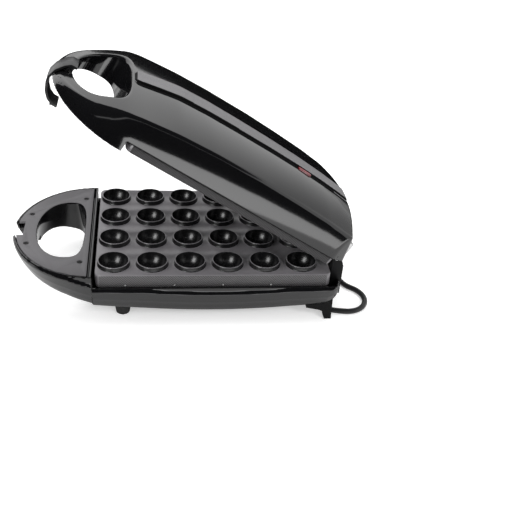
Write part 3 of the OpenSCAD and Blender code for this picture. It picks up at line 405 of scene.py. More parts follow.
def cell_quads(solid, number):
    """One quad round each edge of the grid that runs from solid to empty, turned outwards."""
    quads = []
    for axis in range(3):
        along = np.eye(3, dtype=int)
        u, w = along[(axis + 1) % 3], along[(axis + 2) % 3]
        near, far = [slice(1, -1)] * 3, [slice(1, -1)] * 3
        near[axis], far[axis] = slice(0, -1), slice(1, None)
        starts_solid = solid[tuple(near)]
        edge = np.argwhere(starts_solid != solid[tuple(far)])
        base = edge + 1 - along[axis]
        ring = [number[tuple((base - a * u - b * w).T)] for a, b in ((1, 1), (0, 1), (0, 0), (1, 0))]
        quad = np.stack(ring, 1)
        inwards = ~starts_solid[tuple(edge.T)]
        quad[inwards] = quad[inwards][:, ::-1]
        quads.append(quad)
    return np.concatenate(quads)


def skin_of(field, low, high):
    """Points, quads and normals of a field's zero surface, with one point in each cell that it crosses."""
    low = np.array(low, dtype=float)
    value = sampled(field, low, high)
    without_pinches(value)
    solid = value < 0
    corners = [(i, j, k) for i in (0, 1) for j in (0, 1) for k in (0, 1)]
    cut = [slice(0, -1), slice(1, None)]
    full = sum(solid[cut[i], cut[j], cut[k]].astype(int) for i, j, k in corners)
    mixed = (full > 0) & (full < 8)
    cells = np.argwhere(mixed)
    number = np.full(mixed.shape, -1)
    number[mixed] = np.arange(len(cells))
    points = low + CELL * crossing_means(value, cells, corners)
    for _ in range(3):
        slope = gradient(field, points)
        move = -(field(*points.T) / np.maximum((slope ** 2).sum(1), 0.05))[:, None] * slope
        length = np.linalg.norm(move, axis=1, keepdims=True)
        points = points + move * np.minimum(1, 0.5 * CELL / np.maximum(length, 1e-9))
    slope = gradient(field, points)
    slope /= np.maximum(np.linalg.norm(slope, axis=1, keepdims=True), 1e-9)
    return points, cell_quads(solid, number), slope


def seat(o, body, nodes):
    """Puts a finished piece on its body, in place of CAD nodes."""
    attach(o, body)
    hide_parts(*nodes)


def merge_doubles(mesh):
    """Joins the corners that meet, and turns the faces outwards."""
    bm = bmesh.new()
    bm.from_mesh(mesh)
    bmesh.ops.remove_doubles(bm, verts=bm.verts, dist=MERGE)
    bmesh.ops.recalc_face_normals(bm, faces=bm.faces)
    bm.to_mesh(mesh)
    bm.free()


def shade(mesh, crease):
    """Smooth shading, with the edges sharp that turn by more than crease degrees."""
    mesh.shade_smooth()
    mesh.set_sharp_from_angle(angle=math.radians(crease))


def apply_modifiers(o):
    """Takes what an object's modifiers make into its mesh."""
    bpy.context.view_layer.update()
    made = bpy.data.meshes.new_from_object(o.evaluated_get(bpy.context.evaluated_depsgraph_get()))
    o.modifiers.clear()
    o.data = made


def piece(name, points, faces, material, body, *nodes, place=base_place, slope=None):
    """A mesh piece from points in millimetres; slope gives their normals."""
    mesh = bpy.data.meshes.new(name)
    mesh.from_pydata(place(points).tolist(), [], [list(map(int, f)) for f in faces])
    mesh.validate()
    mesh.update()
    o = bpy.data.objects.new(name, mesh)
    bpy.context.collection.objects.link(o)
    mesh.materials.append(material)
    mesh.shade_smooth()
    if slope is not None and len(mesh.vertices) == len(points):
        lean = (place(slope) - place([(0, 0, 0)])) * 1000
        mesh.normals_split_custom_set_from_vertices(lean.tolist())
    seat(o, body, nodes)
    return o


# ---- what both shells share
OPENING_Y = ROOT - 30  # middle of the finger opening
OPENING_HALF = 58.0
OPENING_REAR = 19.0
OPENING_FRONT = 33.0
BULKHEAD_Y = ROOT - 1.5  # the wall between body and handle
BULKHEAD_HALF = 1.5
POST_X = 76.0  # middle of a hinge post
POST_FRONT = 132.0
PIN_Y, PIN_Z = -188.5, 79.0  # the clip's pin
SHARP = 0.8  # rounding of a cut edge


def opening_field(x, y):
    """Below zero inside the finger opening, an oval that is squarer at the rear."""
    dy = y - OPENING_Y
    rear = dy > 0
    reach = np.where(rear, OPENING_REAR, OPENING_FRONT)
    ax = np.abs(x) / OPENING_HALF
    ay = np.abs(dy) / reach
    p = np.where(rear, 3.2, 2.1)
    r = (ax ** p + ay ** p + 1e-12) ** (1 / p)
    slope = np.sqrt((ax / OPENING_HALF) ** 2 + (ay / reach) ** 2) / np.maximum(r, 1e-3)
    return (r - 1) / np.maximum(slope, 1 / 60)


def outline_field(x, y, half, length):
    """Below zero inside the plan outline: straight sides and a rounded handle."""
    ax = np.abs(x)
    dy = np.minimum(y - ROOT, 0)
    r = np.sqrt((ax / half) ** 2 + (dy / length) ** 2 + 1e-12)
    slope = np.sqrt((ax / half ** 2) ** 2 + (dy / length ** 2) ** 2) / r
    return (r - 1) / np.maximum(slope, 0.4 / half)


def hollow(even, wall, y, handle_room):
    """The room under an even wall, on both sides of the bulkhead; handle_room is what the handle allows."""
    room = np.maximum(even + wall, BULKHEAD_HALF - np.abs(y - BULKHEAD_Y))
    return np.maximum(room, np.where(y < BULKHEAD_Y, handle_room, -FAR))


def post_room(x, y, half):
    """Below zero beside the middle of each hinge post and behind their front."""
    return np.maximum(np.abs(np.abs(x) - POST_X) - half, POST_FRONT - y)


# ---- lower shell
LOW_HALF = 97.0
LOW_LEN = 87.5  # of the handle
LOW_END = 146.0
LOW_WALL = WALL + 0.5
LIP_Z = 49.0  # top of the wall
COVER_Z = 63.5  # top of the grip plate
UNDER_Z, UNDER_Y = 9.5, 10.0  # lowest place of the underside
HEEL_Y = 130.0  # where the underside turns up to the rear
SIDE_HEIGHT = 36.0  # that side_in is drawn for
LOW_OPENING_EDGE = 2.5
LOW_SLOT_HALF, LOW_SLOT_Z = 4.55, 29.0  # the posts' slots, down to this height
NOTCH_HALF = 14.3
FOOT_X, FOOT_Y = 69.0, -91.0
FOOT_SEAT, FOOT_DEPTH = 10.3, 1.3  # radius and depth of a foot's seat

# how far the side stands in, by the height over the underside
side_in = smooth_table([(-1, 22), (0, 18), (1.5, 13), (5, 9), (10, 6), (20, 1.2), (26, -0.6), (31, -2),
                        (36, 0), (60, 0)])

# room for the clip's hook, in y and z
NOTCH = [(-215, 70), (-198.9, 70), (-198.7, 60), (-197.5, 56), (-194.5, 50.5), (-190, 46.3), (-184.5, 44.5),
         (-177.5, 44), (-177.5, 0), (-215, 0)]


def under(y):
    """Height of the underside."""
    belly = 5.65 * ((np.minimum(y, HEEL_Y) - UNDER_Y) / 100) ** 2
    grip = 8.5 * np.clip((ROOT - y) / LOW_LEN, 0, 1) ** 0.7
    heel = 1.3 * np.maximum(0, y - HEEL_Y)
    return UNDER_Z + belly + grip + heel


def lower_top(y):
    """Height of the shell's upper edge."""
    return np.where(y < ROOT, COVER_Z, LIP_Z)


def lower_body(x, y, z):
    """The lower shell's outside, with its finger opening."""
    base = under(y)
    share = np.clip((lower_top(y) - base) / SIDE_HEIGHT, 0.3, 1)
    side = outline_field(x, y, LOW_HALF, LOW_LEN) + side_in((z - base) / share) * share
    rear = y - (LOW_END - 1 - 5 * (np.abs(x) / 95) ** 4)
    outside = blend_max(blend_max(side, rear, 7), base - z, 5)
    return blend_max(outside, -opening_field(x, y), LOW_OPENING_EDGE)


lower_even = even_field(lower_body)


def lower_field(x, y, z):
    """The lower shell, open above, with the hook's notch, the posts' slots and the feet's seats."""
    room = hollow(lower_even(x, y, z), LOW_WALL, y, COVER_Z - RECESS - z)
    solid = np.maximum(lower_body(x, y, z), -room)
    solid = blend_max(solid, z - lower_top(y), SHARP)
    notch = np.maximum(profile_field(NOTCH, y, z), np.abs(x) - NOTCH_HALF)
    solid = blend_max(solid, -notch, 1.0)
    solid = np.maximum(solid, -np.maximum(post_room(x, y, LOW_SLOT_HALF), LOW_SLOT_Z - z))
    foot = np.sqrt((np.abs(x) - FOOT_X) ** 2 + (y - FOOT_Y) ** 2)
    return np.maximum(solid, -np.maximum(foot - FOOT_SEAT, z - under(FOOT_Y) - FOOT_DEPTH))


points, quads, slope = skin_of(lower_field, (-102, -214, 4), (102, 150, 68))
piece("lower_shell", points, quads, gloss_black, "base", "lower_housing", slope=slope)

# ---- upper shell, in its shut place
UP_HALF = 96.0
UP_LEN = 79.5  # of the handle
LID_END = 147.0
GRIP_Z = 67.0  # underside of the handle
SEAM_Z = 78.0  # underside of the body
SHOULDER = 7.5  # how far the side leans in, up to the crease
UP_OPENING_EDGE = 3.5
UP_SLOT_HALF, UP_SLOT_Z = 5.5, 94.0  # the posts' slots, up to this height
CORE_HALF, CORE_REAR, CORE_Z = 18.0, -184.0, 69.5  # the solid tip of the handle, which holds the pin
PIN_ROOM = 3.9  # radius
STRAP_HALF = 13.3

# heights of the top, along its middle and along the crease of its sides
lid_mid = smooth_table([(-203, 66.5), (-201.5, 70), (-199, 75), (-195, 79), (-190, 82), (-184, 84.5),
                        (-175, 88), (-165, 92), (-150, 99.5), (-138, 104), (-126, 106.5), (-105, 111),
                        (-84, 115), (-50, 117.3), (-12, 118.3), (30, 118.9), (68, 118.7), (100, 117.6),
                        (125, 116), (150, 113.5)])
lid_crease = smooth_table([(-203, 66), (-201, 68.5), (-195, 76), (-184, 80.5), (-165, 87), (-150, 93.5),
                           (-135, 99.5), (-120, 102.5), (-80, 107), (-40, 109.5), (15, 111), (60, 110.7),
                           (99, 109.7), (132, 107), (150, 104)])

# room for the clip's strap, in y and z
STRAP_ROOM = [(-179.5, 120), (-179.5, 80), (-188.5, 79.5), (-188.5, 83.6), (-193.1, 79.2), (-198.2, 71.8),
              (-200.2, 64), (-200.2, 20), (-230, 20), (-230, 120)]


def upper_body(x, y, z):
    """The upper shell's outside, with its finger opening."""
    ax = np.abs(x)
    crest = lid_crease(y)
    outline = outline_field(x, y, UP_HALF, UP_LEN)
    rise = np.clip((z - 70) / np.maximum(crest - 70, 2), 0, 1.6)
    side = outline + SHOULDER * np.clip((y + 205) / 60, 0.25, 1) * rise ** 2.6
    inward = np.clip((-outline - SHOULDER) / 74, 0, 1)
    top = z - (lid_mid(y) - (lid_mid(y) - crest) * (1 - inward) ** 1.7)
    share = np.clip((z - SEAM_Z) / 32, 0, 1.2)
    bow = 12 * (ax / 90) ** 2 * (0.33 + 0.67 * share)
    rear = (y - (LID_END - 2.5 * share - bow)) * 0.97
    corner = (ax - UP_HALF + 0.55 * (y - 126) + 5 * share) * 0.88
    outside = blend_max(blend_max(blend_max(side, top, 3.0), corner, 1.5), rear, 3.0)
    return blend_max(outside, -opening_field(x, y), UP_OPENING_EDGE)


upper_even = even_field(upper_body)


def upper_field(x, y, z):
    """The upper shell, open below, with room for the clip and its pin and slots for the posts."""
    room = hollow(upper_even(x, y, z), WALL, y, z - GRIP_Z - RECESS)
    core = np.maximum(np.maximum(np.abs(x) - CORE_HALF, y - CORE_REAR), CORE_Z - z)
    solid = np.maximum(upper_body(x, y, z), -np.maximum(room, -core))
    solid = blend_max(solid, np.where(y < ROOT, GRIP_Z, SEAM_Z) - z, SHARP)
    strap = np.maximum(profile_field(STRAP_ROOM, y, z), np.abs(x) - STRAP_HALF)
    eye = np.maximum(np.sqrt((y - PIN_Y) ** 2 + (z - PIN_Z) ** 2) - PIN_ROOM, np.abs(x) - STRAP_HALF)
    solid = blend_max(solid, -np.minimum(strap, eye), SHARP)
    return blend_max(solid, -np.maximum(post_room(x, y, UP_SLOT_HALF), z - UP_SLOT_Z), SHARP)


points, quads, slope = skin_of(upper_field, (-101, -206, 62), (101, 151, 124))
piece("upper_shell", points, quads, gloss_black, "lid", "upper_housing", place=lid_place, slope=slope)

# ---------------------------------------------------------------- baking plates
TURNS = 48  # sides of a round cup
PLATE_HALF, PLATE_FRONT, PLATE_REAR, PLATE_CORNER = 93.0, -119.0, 130.0, 7.0
PLATE_FACE = 5.0  # how far the flat face lies behind the cups' rims
PLATE_BACK = 7.5  # and its back
CUP_BACK = BOWL + 2  # outer radius of a cup
LID_GAP = 0.5  # between the cups' rims, when the lid is shut


def lathe_rings(center, profile):
    """Rings of points round an upright axis; profile is (radius, height) pairs."""
    a = np.arange(TURNS) * 2 * np.pi / TURNS
    return [np.stack([center[0] + r * np.cos(a), center[1] + r * np.sin(a), np.full(TURNS, z)], 1)
            for r, z in profile]


def rounded_outline(grow):
    """The plate's outline, grown by grow, with round corners."""
    parts = 10
    half, front, rear = PLATE_HALF + grow, PLATE_FRONT - grow, PLATE_REAR + grow
    r = PLATE_CORNER + grow
    points = []
    for cx, cy, start in ((half - r, rear - r, 0), (-half + r, rear - r, 90), (-half + r, front + r, 180),
                          (half - r, front + r, 270)):
        for i in range(parts + 1):
            a = math.radians(start + 90 * i / parts)
            points.append((cx + r * math.cos(a), cy + r * math.sin(a)))
    return points


class Skin:
    """Gathers points and faces of one closed skin, merging what meets."""

    def __init__(self):
        self.points, self.faces = [], []

    def add(self, points):
        """Gives the number of the first of the points that it adds."""
        start = sum(len(p) for p in self.points)
        self.points.append(np.asarray(points, dtype=float).reshape(-1, 3))
        return start

    def bands(self, rings):
        """Bands of quads from each ring to the next; gives the number of the last ring's first point."""
        n = len(rings[0])
        start = self.add(np.concatenate(rings))
        for i in range(len(rings) - 1):
            for k in range(n):
                a, b = start + i * n + k, start + i * n + (k + 1) % n
                self.faces.append((a, b, b + n, a + n))
        return start + (len(rings) - 1) * n

    def fan(self, start, n, apex):
        """Triangles from a ring of n points to a point in its middle."""
        middle = self.add([apex])
        self.faces += [(start + k, start + (k + 1) % n, middle) for k in range(n)]

    def flat(self, outer, holes, z, up=True):
        """A level face with round holes."""
        corners = [Vector(p) for p in outer]
        edges = [(i, (i + 1) % len(outer)) for i in range(len(outer))]
        for hole in holes:
            first = len(corners)
            corners += [Vector(p[:2]) for p in hole]
            edges += [(first + i, first + (i + 1) % len(hole)) for i in range(len(hole))]
        made, _, triangles, *_ = delaunay_2d_cdt(corners, edges, [], 1, 1e-5)
        start = self.add([(p[0], p[1], z) for p in made])
        centers = [(np.mean([p[0] for p in hole]), np.mean([p[1] for p in hole])) for hole in holes]
        reach = [math.dist(hole[0][:2], c) * 1.001 for hole, c in zip(holes, centers)]
        for tri in triangles:
            if any(all(math.dist(made[i], c) < r for i in tri) for c, r in zip(centers, reach)):
                continue
            a, b, c = (Vector(made[i]) for i in tri[:3])
            counterclockwise = (b - a).cross(c - a) > 0
            tri = [start + i for i in tri]
            self.faces.append(tri if counterclockwise == up else tri[::-1])

    def build(self, name, material, body, *nodes, place=base_place, crease=40):
        """The finished piece."""
        o = piece(name, np.concatenate(self.points), self.faces, material, body, *nodes, place=place)
        merge_doubles(o.data)
        shade(o.data, crease)
        return o


def bowl_profile():
    """Radius and depth from the plate's face over the cup's rim to the bottom of its bowl."""
    rim = [(BOWL + 1.9, PLATE_FACE), (BOWL + 1.55, 4.75), (BOWL + 1.35, 4.3), (BOWL + 1.25, 1.2),
           (BOWL + 1.15, 0.45), (BOWL + 0.75, 0.08), (BOWL + 0.35, 0.05), (BOWL + 0.06, 0.3)]
    steps = 15
    angles = [math.radians(3 + 87 * i / steps) for i in range(1, steps)]
    return rim + [(BOWL * math.cos(a), BOWL * math.sin(a)) for a in angles]


def back_profile():
    """Radius and depth from the plate's back round the outside of a cup."""
    steps = 10
    start = math.asin((PLATE_BACK + 0.2) / CUP_BACK)
    angles = [start + (math.pi / 2 - start) * i / steps for i in range(steps)]
    return ([(math.sqrt(CUP_BACK ** 2 - PLATE_BACK ** 2) + 0.3, PLATE_BACK)]
            + [(CUP_BACK * math.cos(a), CUP_BACK * math.sin(a)) for a in angles])


def edge_profile(band, lip):
    """Growth and depth from the plate's face over its edge and band to its back."""
    if lip:
        top = [(-1.55, PLATE_FACE), (-1.5, 1.2), (-1.2, 0.65), (-0.6, 0.6), (-0.15, 0.9), (0, 1.6),
               (0, PLATE_FACE)]
    else:
        top = [(-1.6, PLATE_FACE), (-1.0, 5.1), (-0.45, 5.45), (-0.1, 6.0), (0, 6.8)]
    return top + [(0, band - 0.5), (-0.4, band), (-2.1, band), (-2.5, band - 0.5), (-2.5, PLATE_BACK)]


def plate_skin(level, sign, band, lip):
    """A plate whose cup rims lie at level; sign -1 hangs its bowls downwards, and +1 turns it over."""
    def height(depth):
        return level + sign * depth

    def cup_side(center, profile, bottom):
        rings = lathe_rings(center, [(r, height(depth)) for r, depth in profile])
        skin.fan(skin.bands(rings), TURNS, (*center, height(bottom)))
        return [tuple(p) for p in rings[0]]

    skin = Skin()
    faces, backs = [], []
    for x in CUP_X:
        for y in CUP_Y:
            faces.append(cup_side((x, y), bowl_profile(), BOWL))
            backs.append(cup_side((x, y), back_profile(), CUP_BACK))
    rings = [np.array([(x, y, height(depth)) for x, y in rounded_outline(grow)])
             for grow, depth in edge_profile(band, lip)]
    skin.bands(rings)
    skin.flat([tuple(p[:2]) for p in rings[0]], faces, height(PLATE_FACE))
    skin.flat([tuple(p[:2]) for p in rings[-1]], backs, height(PLATE_BACK), up=False)
    return skin


def cup_reach(center):
    """How far a point of a face lies from the middle line of the nearest cup, in millimetres."""
    x, y, z = center[0] * 1000, center[1] * 1000 - GRID_Y, center[2] * 1000
    if z > RIM + 3:  # on the lid, which is turned back to where it is shut
        c, s = math.cos(OPEN), math.sin(OPEN)
        y = HINGE_Y + c * (y - HINGE_Y) - s * (z - HINGE_Z)
    return min(math.hypot(x - cx, y - cy) for cx in CUP_X for cy in CUP_Y)


def coat_casting(casting, ribs, level, sign, place):
    """Ribs on the sides of the band, and a smoother gloss, painted darker as shade, in the bowls and round
    their outer walls.
    """
    casting.data.materials.append(ribs)
    casting.data.materials.append(cup_gloss_and_shade)
    face_place = place([(0, 0, level + sign * (PLATE_FACE - 0.1))])[0]
    outwards = place([(0, 0, -sign)])[0] - place([(0, 0, 0)])[0]
    outwards /= np.linalg.norm(outwards)
    for face in casting.data.polygons:
        side = abs(face.normal.x) > 0.9 and abs(face.center.x) > (PLATE_HALF - 0.4) / 1000
        stands_out = float(np.dot(np.array(face.center) - face_place, outwards)) > 0
        reach = cup_reach(face.center)
        bowl = float(np.dot(np.array(face.normal), outwards)) > -0.05 and reach < BOWL + 0.1
        wall = stands_out and BOWL + 1.0 < reach < BOWL + 1.8
        # index 2 is the cups' finish: smoother, and painted darker as shade
        face.material_index = 1 if side else 2 if bowl or wall else 0


lower_casting = plate_skin(RIM, -1, band=20.0, lip=False).build(
    "lower_casting", coating, "base", "lower_plate")
coat_casting(lower_casting, band_grey, RIM, -1, base_place)
upper_casting = plate_skin(RIM + LID_GAP, 1, band=16.0, lip=True).build(
    "upper_casting", coating, "lid", "upper_plate", place=lid_place)
coat_casting(upper_casting, lid_band_painted_shade, RIM + LID_GAP, 1, lid_place)

# ---------------------------------------------------------------- rounded copies of the solids


ROUND_FROM = 32  # degrees between two faces, from which their edge is rounded
SHARP_FROM = 38  # and from which it is shaded as an edge


def softened(name, material, body, *nodes, width=0.4, segments=2):
    """A copy of CAD solids with their edges rounded, in place of them."""
    bm = bmesh.new()
    for node in nodes:
        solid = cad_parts[node].data.copy()
        solid.transform(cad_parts[node].matrix_world)
        bm.from_mesh(solid)
        bpy.data.meshes.remove(solid)
    bmesh.ops.remove_doubles(bm, verts=bm.verts, dist=MERGE)
    bmesh.ops.dissolve_limit(bm, angle_limit=math.radians(1), verts=bm.verts, edges=bm.edges)
    bmesh.ops.recalc_face_normals(bm, faces=bm.faces)
    mesh = bpy.data.meshes.new(name)
    bm.to_mesh(mesh)
    bm.free()
    mesh.materials.append(material)
    o = bpy.data.objects.new(name, mesh)
    bpy.context.collection.objects.link(o)
    rounding = o.modifiers.new("rounding", "BEVEL")
    rounding.width = width / 1000
    rounding.segments = segments
    rounding.limit_method = "ANGLE"
    rounding.angle_limit = math.radians(ROUND_FROM)
    apply_modifiers(o)
    shade(o.data, SHARP_FROM)
    seat(o, body, nodes)


bpy.context.view_layer.update()
softened("grip_plate", satin_grey, "base", "lower_handle_cover", width=0.3)
softened("lid_grip_plate", satin_black, "lid", "upper_handle_cover", width=0.3)
softened("clip", satin_black, "latch", "latch_clip", width=0.5, segments=3)
softened("clip_pin", steel, "lid", "latch_pin", width=0.2)
softened("feet", foot_rubber, "base", "front_feet", width=0.7, segments=3)
softened("legs", leg_black, "base", "rear_legs", width=0.7, segments=3)
softened("posts", leg_black, "base", "hinge_posts", width=0.6, segments=3)
softened("brackets", steel, "lid", "hinge_brackets", width=0.25)
softened("lamp_window", lens_red, "lid", "indicator_lens", width=0.6, segments=3)
softened("lead_sleeve", cord_skin, "base", "cord_gland")

# ---------------------------------------------------------------- strip along the lid's middle
STRIP_FRONT, STRIP_REAR = -130.5, 140.5
TIP = 9.0  # length of its rounded front end
TAIL = 6.0  # and of its rear end
STRIP_HEIGHT = 2.9
MARGIN = 3.2  # width of the low margin beside it
strip_half = smooth_table([(-131, 14.6), (-110, 15), (-60, 14.6), (10, 13.8), (70, 12.8), (141, 11.6)])


def quarter_round(t):
    """Rises from 0 to 1 as a quarter of a circle does."""
    return math.sqrt(1 - (1 - min(1, t)) ** 2)


def strip_section(y):
    """One cross-section: a low margin, painted dark as shade, a step, and a raised flat top with rounded
    edges.
    """
    start = np.clip((y - STRIP_FRONT) / TIP, 0, 1)
    end = np.clip((STRIP_REAR - y) / TAIL, 0, 1)
    w = float(strip_half(y)) * (0.55 + 0.45 * quarter_round(start))
    top = max(STRIP_HEIGHT * quarter_round(start * 2.2) * quarter_round(end * 1.6), 0.5)
    right = [(w + MARGIN, -1.6), (w + MARGIN, 0.12), (w + 2.9, 0.3), (w + 0.2, 0.3), (w, 0.5),
             (w - 0.15, 0.62 * top), (w - 0.35, 0.86 * top), (w - 0.8, 0.97 * top), (w - 1.5, top),
             (w * 0.5, top + 0.05)]
    left = [(-x, z) for x, z in reversed(right)]
    level = float(lid_mid(y))
    return np.array([(x, y, level + z) for x, z in right + [(0, top + 0.06)] + left])


sections = [strip_section(y) for y in np.concatenate([
    STRIP_FRONT + TIP * (np.arange(9) / 9) ** 1.6,
    np.linspace(STRIP_FRONT + TIP, STRIP_REAR - TAIL, 70),
    STRIP_REAR - TAIL * (1 - np.arange(1, 8) / 7) ** 1.4,
])]
strip = Skin()
strip.bands(sections)
for section in (sections[0], sections[-1]):
    strip.fan(strip.add(section), len(section), section.mean(axis=0))
lid_strip = strip.build("lid_strip", strip_side_shade, "lid", "spine_trim", place=lid_place, crease=35)
lid_strip.data.materials.append(strip_top_sheen)
lid_up = Vector((0, math.sin(OPEN), math.cos(OPEN)))
# painted light: the flat top takes the grey of painted sheen, and every other face the black of painted
# shade
for face in lid_strip.data.polygons:
    inside = abs(face.center.x) * 1000 < float(strip_half(0)) - 0.4
    face.material_index = 1 if inside and face.normal.dot(lid_up) > 0.8 else 0

# ---------------------------------------------------------------- screws, spread by Geometry Nodes
HEAD = 2.8  # radius
HEAD_HEIGHT = 0.7
CROSS_HALF = 0.42  # half the width of the recess, and its depth
CROSS_REACH = 1.95


def screw_head():
    """A domed head with a cross recess, its seat at z 0, as points and faces in millimetres."""
    turns = 40
    rings = []
    for r in (0.35, 0.7, 1.1, 1.5, 1.85, 2.1, 2.45, 2.7, HEAD):
        ring = []
        for k in range(turns):
            a = 2 * math.pi * k / turns
            x, y = r * math.cos(a), r * math.sin(a)
            in_cross = min(abs(x), abs(y)) < CROSS_HALF and r < CROSS_REACH
            dome = HEAD_HEIGHT * (1 - 0.5 * (r / HEAD) ** 3)
            ring.append((x, y, dome - (CROSS_HALF if in_cross else 0)))
        rings.append(np.array(ring))
    rings = [rings[0] * [0, 0, 1]] + rings + [rings[-1] * [1, 1, 0]]
    rings.append(rings[-1] * [0, 0, 1])
    head = Skin()
    head.bands(rings)
    return np.concatenate(head.points), [(a, d, c, b) for a, b, c, d in head.faces]


def spread(name, shape, spots, material, body, *nodes, place=base_place, turn=1):
    """Copies of one shape at several spots, made by Geometry Nodes with named inputs."""
    points, faces = shape
    points = points * [1, turn, turn]
    unit = bpy.data.meshes.new(name + "_one")
    unit.from_pydata((place(points) - place([(0, 0, 0)])).tolist(), [], [list(f) for f in faces])
    merge_doubles(unit)
    unit_object = bpy.data.objects.new(name + "_one", unit)
    seeds = bpy.data.meshes.new(name)
    seeds.from_pydata(place(spots).tolist(), [], [])
    o = bpy.data.objects.new(name, seeds)
    bpy.context.collection.objects.link(o)
    group = bpy.data.node_groups.new(name + "_spread", "GeometryNodeTree")
    for label, kind in (("Spots", "Geometry"), ("Piece", "Object"), ("Finish", "Material")):
        group.interface.new_socket(label, in_out="INPUT", socket_type="NodeSocket" + kind)
    group.interface.new_socket("Pieces", in_out="OUTPUT", socket_type="NodeSocketGeometry")
    given, result = group.nodes.new("NodeGroupInput"), group.nodes.new("NodeGroupOutput")
    one = group.nodes.new("GeometryNodeObjectInfo")
    dots = group.nodes.new("GeometryNodeMeshToPoints")
    copies = group.nodes.new("GeometryNodeInstanceOnPoints")
    real = group.nodes.new("GeometryNodeRealizeInstances")
    paint = group.nodes.new("GeometryNodeSetMaterial")
    join = group.links.new
    join(given.outputs["Spots"], dots.inputs["Mesh"])
    join(given.outputs["Piece"], one.inputs["Object"])
    join(dots.outputs["Points"], copies.inputs["Points"])
    join(one.outputs["Geometry"], copies.inputs["Instance"])
    join(copies.outputs["Instances"], real.inputs["Geometry"])
    join(real.outputs["Geometry"], paint.inputs["Geometry"])
    join(given.outputs["Finish"], paint.inputs["Material"])
    join(paint.outputs["Geometry"], result.inputs["Pieces"])
    spreader = o.modifiers.new("spread", "NODES")
    spreader.node_group = group
    for item in group.interface.items_tree:
        if item.in_out == "INPUT" and item.name == "Piece":
            spreader[item.identifier] = unit_object
        if item.in_out == "INPUT" and item.name == "Finish":
            spreader[item.identifier] = material
    apply_modifiers(o)
    bpy.data.objects.remove(unit_object)
    shade(o.data, 35)
    seat(o, body, nodes)


def grip_spots(half, length, z):
    """The four screws of a handle: two beside the opening and two in the grip."""
    grip_x = 31
    rim_y = ROOT - length * math.sqrt(1 - (grip_x / half) ** 2)
    grip_y = (rim_y + OPENING_Y - 0.9 * OPENING_FRONT) / 2
    side_x = (half + OPENING_HALF) / 2 - 9.5
    side_y = ROOT - 13
    return [(-side_x, side_y, z), (side_x, side_y, z), (-grip_x, grip_y, z), (grip_x, grip_y, z)]


SUNK = 0.95  # depth of the heads' seats under the face of the plate
spread("grip_screws", screw_head(), grip_spots(LOW_HALF, LOW_LEN, COVER_Z - SUNK), dark_steel, "base",
       "lower_cover_screws")
spread("lid_grip_screws", screw_head(), grip_spots(UP_HALF, UP_LEN, GRIP_Z + SUNK), dark_steel, "lid",
       "upper_cover_screws", place=lid_place, turn=-1)

# ---------------------------------------------------------------- floor and world, in metres
FLOOR_HALF, FLOOR_Z = 6, -0.0002
WHITE = (1, 1, 1, 1)


def level(x0, x1, y0, y1, z):
    """Corners of a level rectangle."""
    return [(x0, y0, z), (x1, y0, z), (x1, y1, z), (x0, y1, z)]


def seen_directly(tree, others):
    """Above zero for the camera's rays and for the other rays that are named."""
    path = tree.nodes.new("ShaderNodeLightPath")
    last = path.outputs["Is Camera Ray"]
    for ray in others:
        most = tree.nodes.new("ShaderNodeMath")
        most.operation = "MAXIMUM"
        tree.links.new(last, most.inputs[0])
        tree.links.new(path.outputs[ray], most.inputs[1])
        last = most.outputs[0]
    return last


paper = bpy.data.materials.new("white_paper")
paper.use_nodes = True
tree = paper.node_tree
sheet = tree.nodes["Principled BSDF"]
sheet.inputs["Base Color"].default_value = (0.8, 0.8, 0.8, 1)
sheet.inputs["Roughness"].default_value = 0.9
sheet.inputs["Specular IOR Level"].default_value = 0.0
glow = tree.nodes.new("ShaderNodeEmission")
glow.inputs["Strength"].default_value = 0.45
glowing = tree.nodes.new("ShaderNodeAddShader")
tree.links.new(sheet.outputs["BSDF"], glowing.inputs[0])
tree.links.new(glow.outputs["Emission"], glowing.inputs[1])
chosen = tree.nodes.new("ShaderNodeMixShader")
tree.links.new(seen_directly(tree, ()), chosen.inputs["Fac"])
tree.links.new(sheet.outputs["BSDF"], chosen.inputs[1])
tree.links.new(glowing.outputs["Shader"], chosen.inputs[2])
tree.links.new(chosen.outputs["Shader"], tree.nodes["Material Output"].inputs["Surface"])

floor_mesh = bpy.data.meshes.new("floor")
floor_mesh.from_pydata(level(-FLOOR_HALF, FLOOR_HALF, -FLOOR_HALF, FLOOR_HALF, FLOOR_Z), [], [(0, 1, 2, 3)])
floor_mesh.materials.append(paper)
floor = bpy.data.objects.new("floor", floor_mesh)
bpy.context.collection.objects.link(floor)

world = bpy.data.worlds.new("studio")
bpy.context.scene.world = world
world.use_nodes = True
tree = world.node_tree
lighting = tree.nodes["Background"]
lighting.inputs["Color"].default_value = WHITE
lighting.inputs["Strength"].default_value = 0.55
seen = tree.nodes.new("ShaderNodeBackground")
seen.inputs["Color"].default_value = WHITE
seen.inputs["Strength"].default_value = 1.0
chosen = tree.nodes.new("ShaderNodeMixShader")
tree.links.new(seen_directly(tree, ("Is Glossy Ray", "Is Transmission Ray")), chosen.inputs["Fac"])
tree.links.new(lighting.outputs["Background"], chosen.inputs[1])
tree.links.new(seen.outputs["Background"], chosen.inputs[2])
tree.links.new(chosen.outputs["Shader"], tree.nodes["World Output"].inputs["Surface"])

# ---------------------------------------------------------------- lamps


def softbox(name, place, target, size, power):
    """A rectangular lamp that looks at target."""
    light = bpy.data.lights.new(name, "AREA")
    light.shape = "RECTANGLE"
    light.size, light.size_y = size
    light.energy = power
    o = bpy.data.objects.new(name, light)
    bpy.context.collection.objects.link(o)
    o.location = place
    o.rotation_euler = (Vector(target) - Vector(place)).to_track_quat("-Z", "Y").to_euler()
    return o


for lamp in (
    softbox("top_box", (-0.2, -0.1, 1.3), (0, 0, 0), (1.4, 1.2), 17),
    softbox("side_box", (1.1, 0.75, 0.95), (0, 0.05, 0.1), (0.35, 0.35), 7),
    softbox("front_box", (0.5, -1.4, 0.9), (0, 0, 0.08), (1.2, 0.8), 9),
):
    lamp.visible_glossy = False

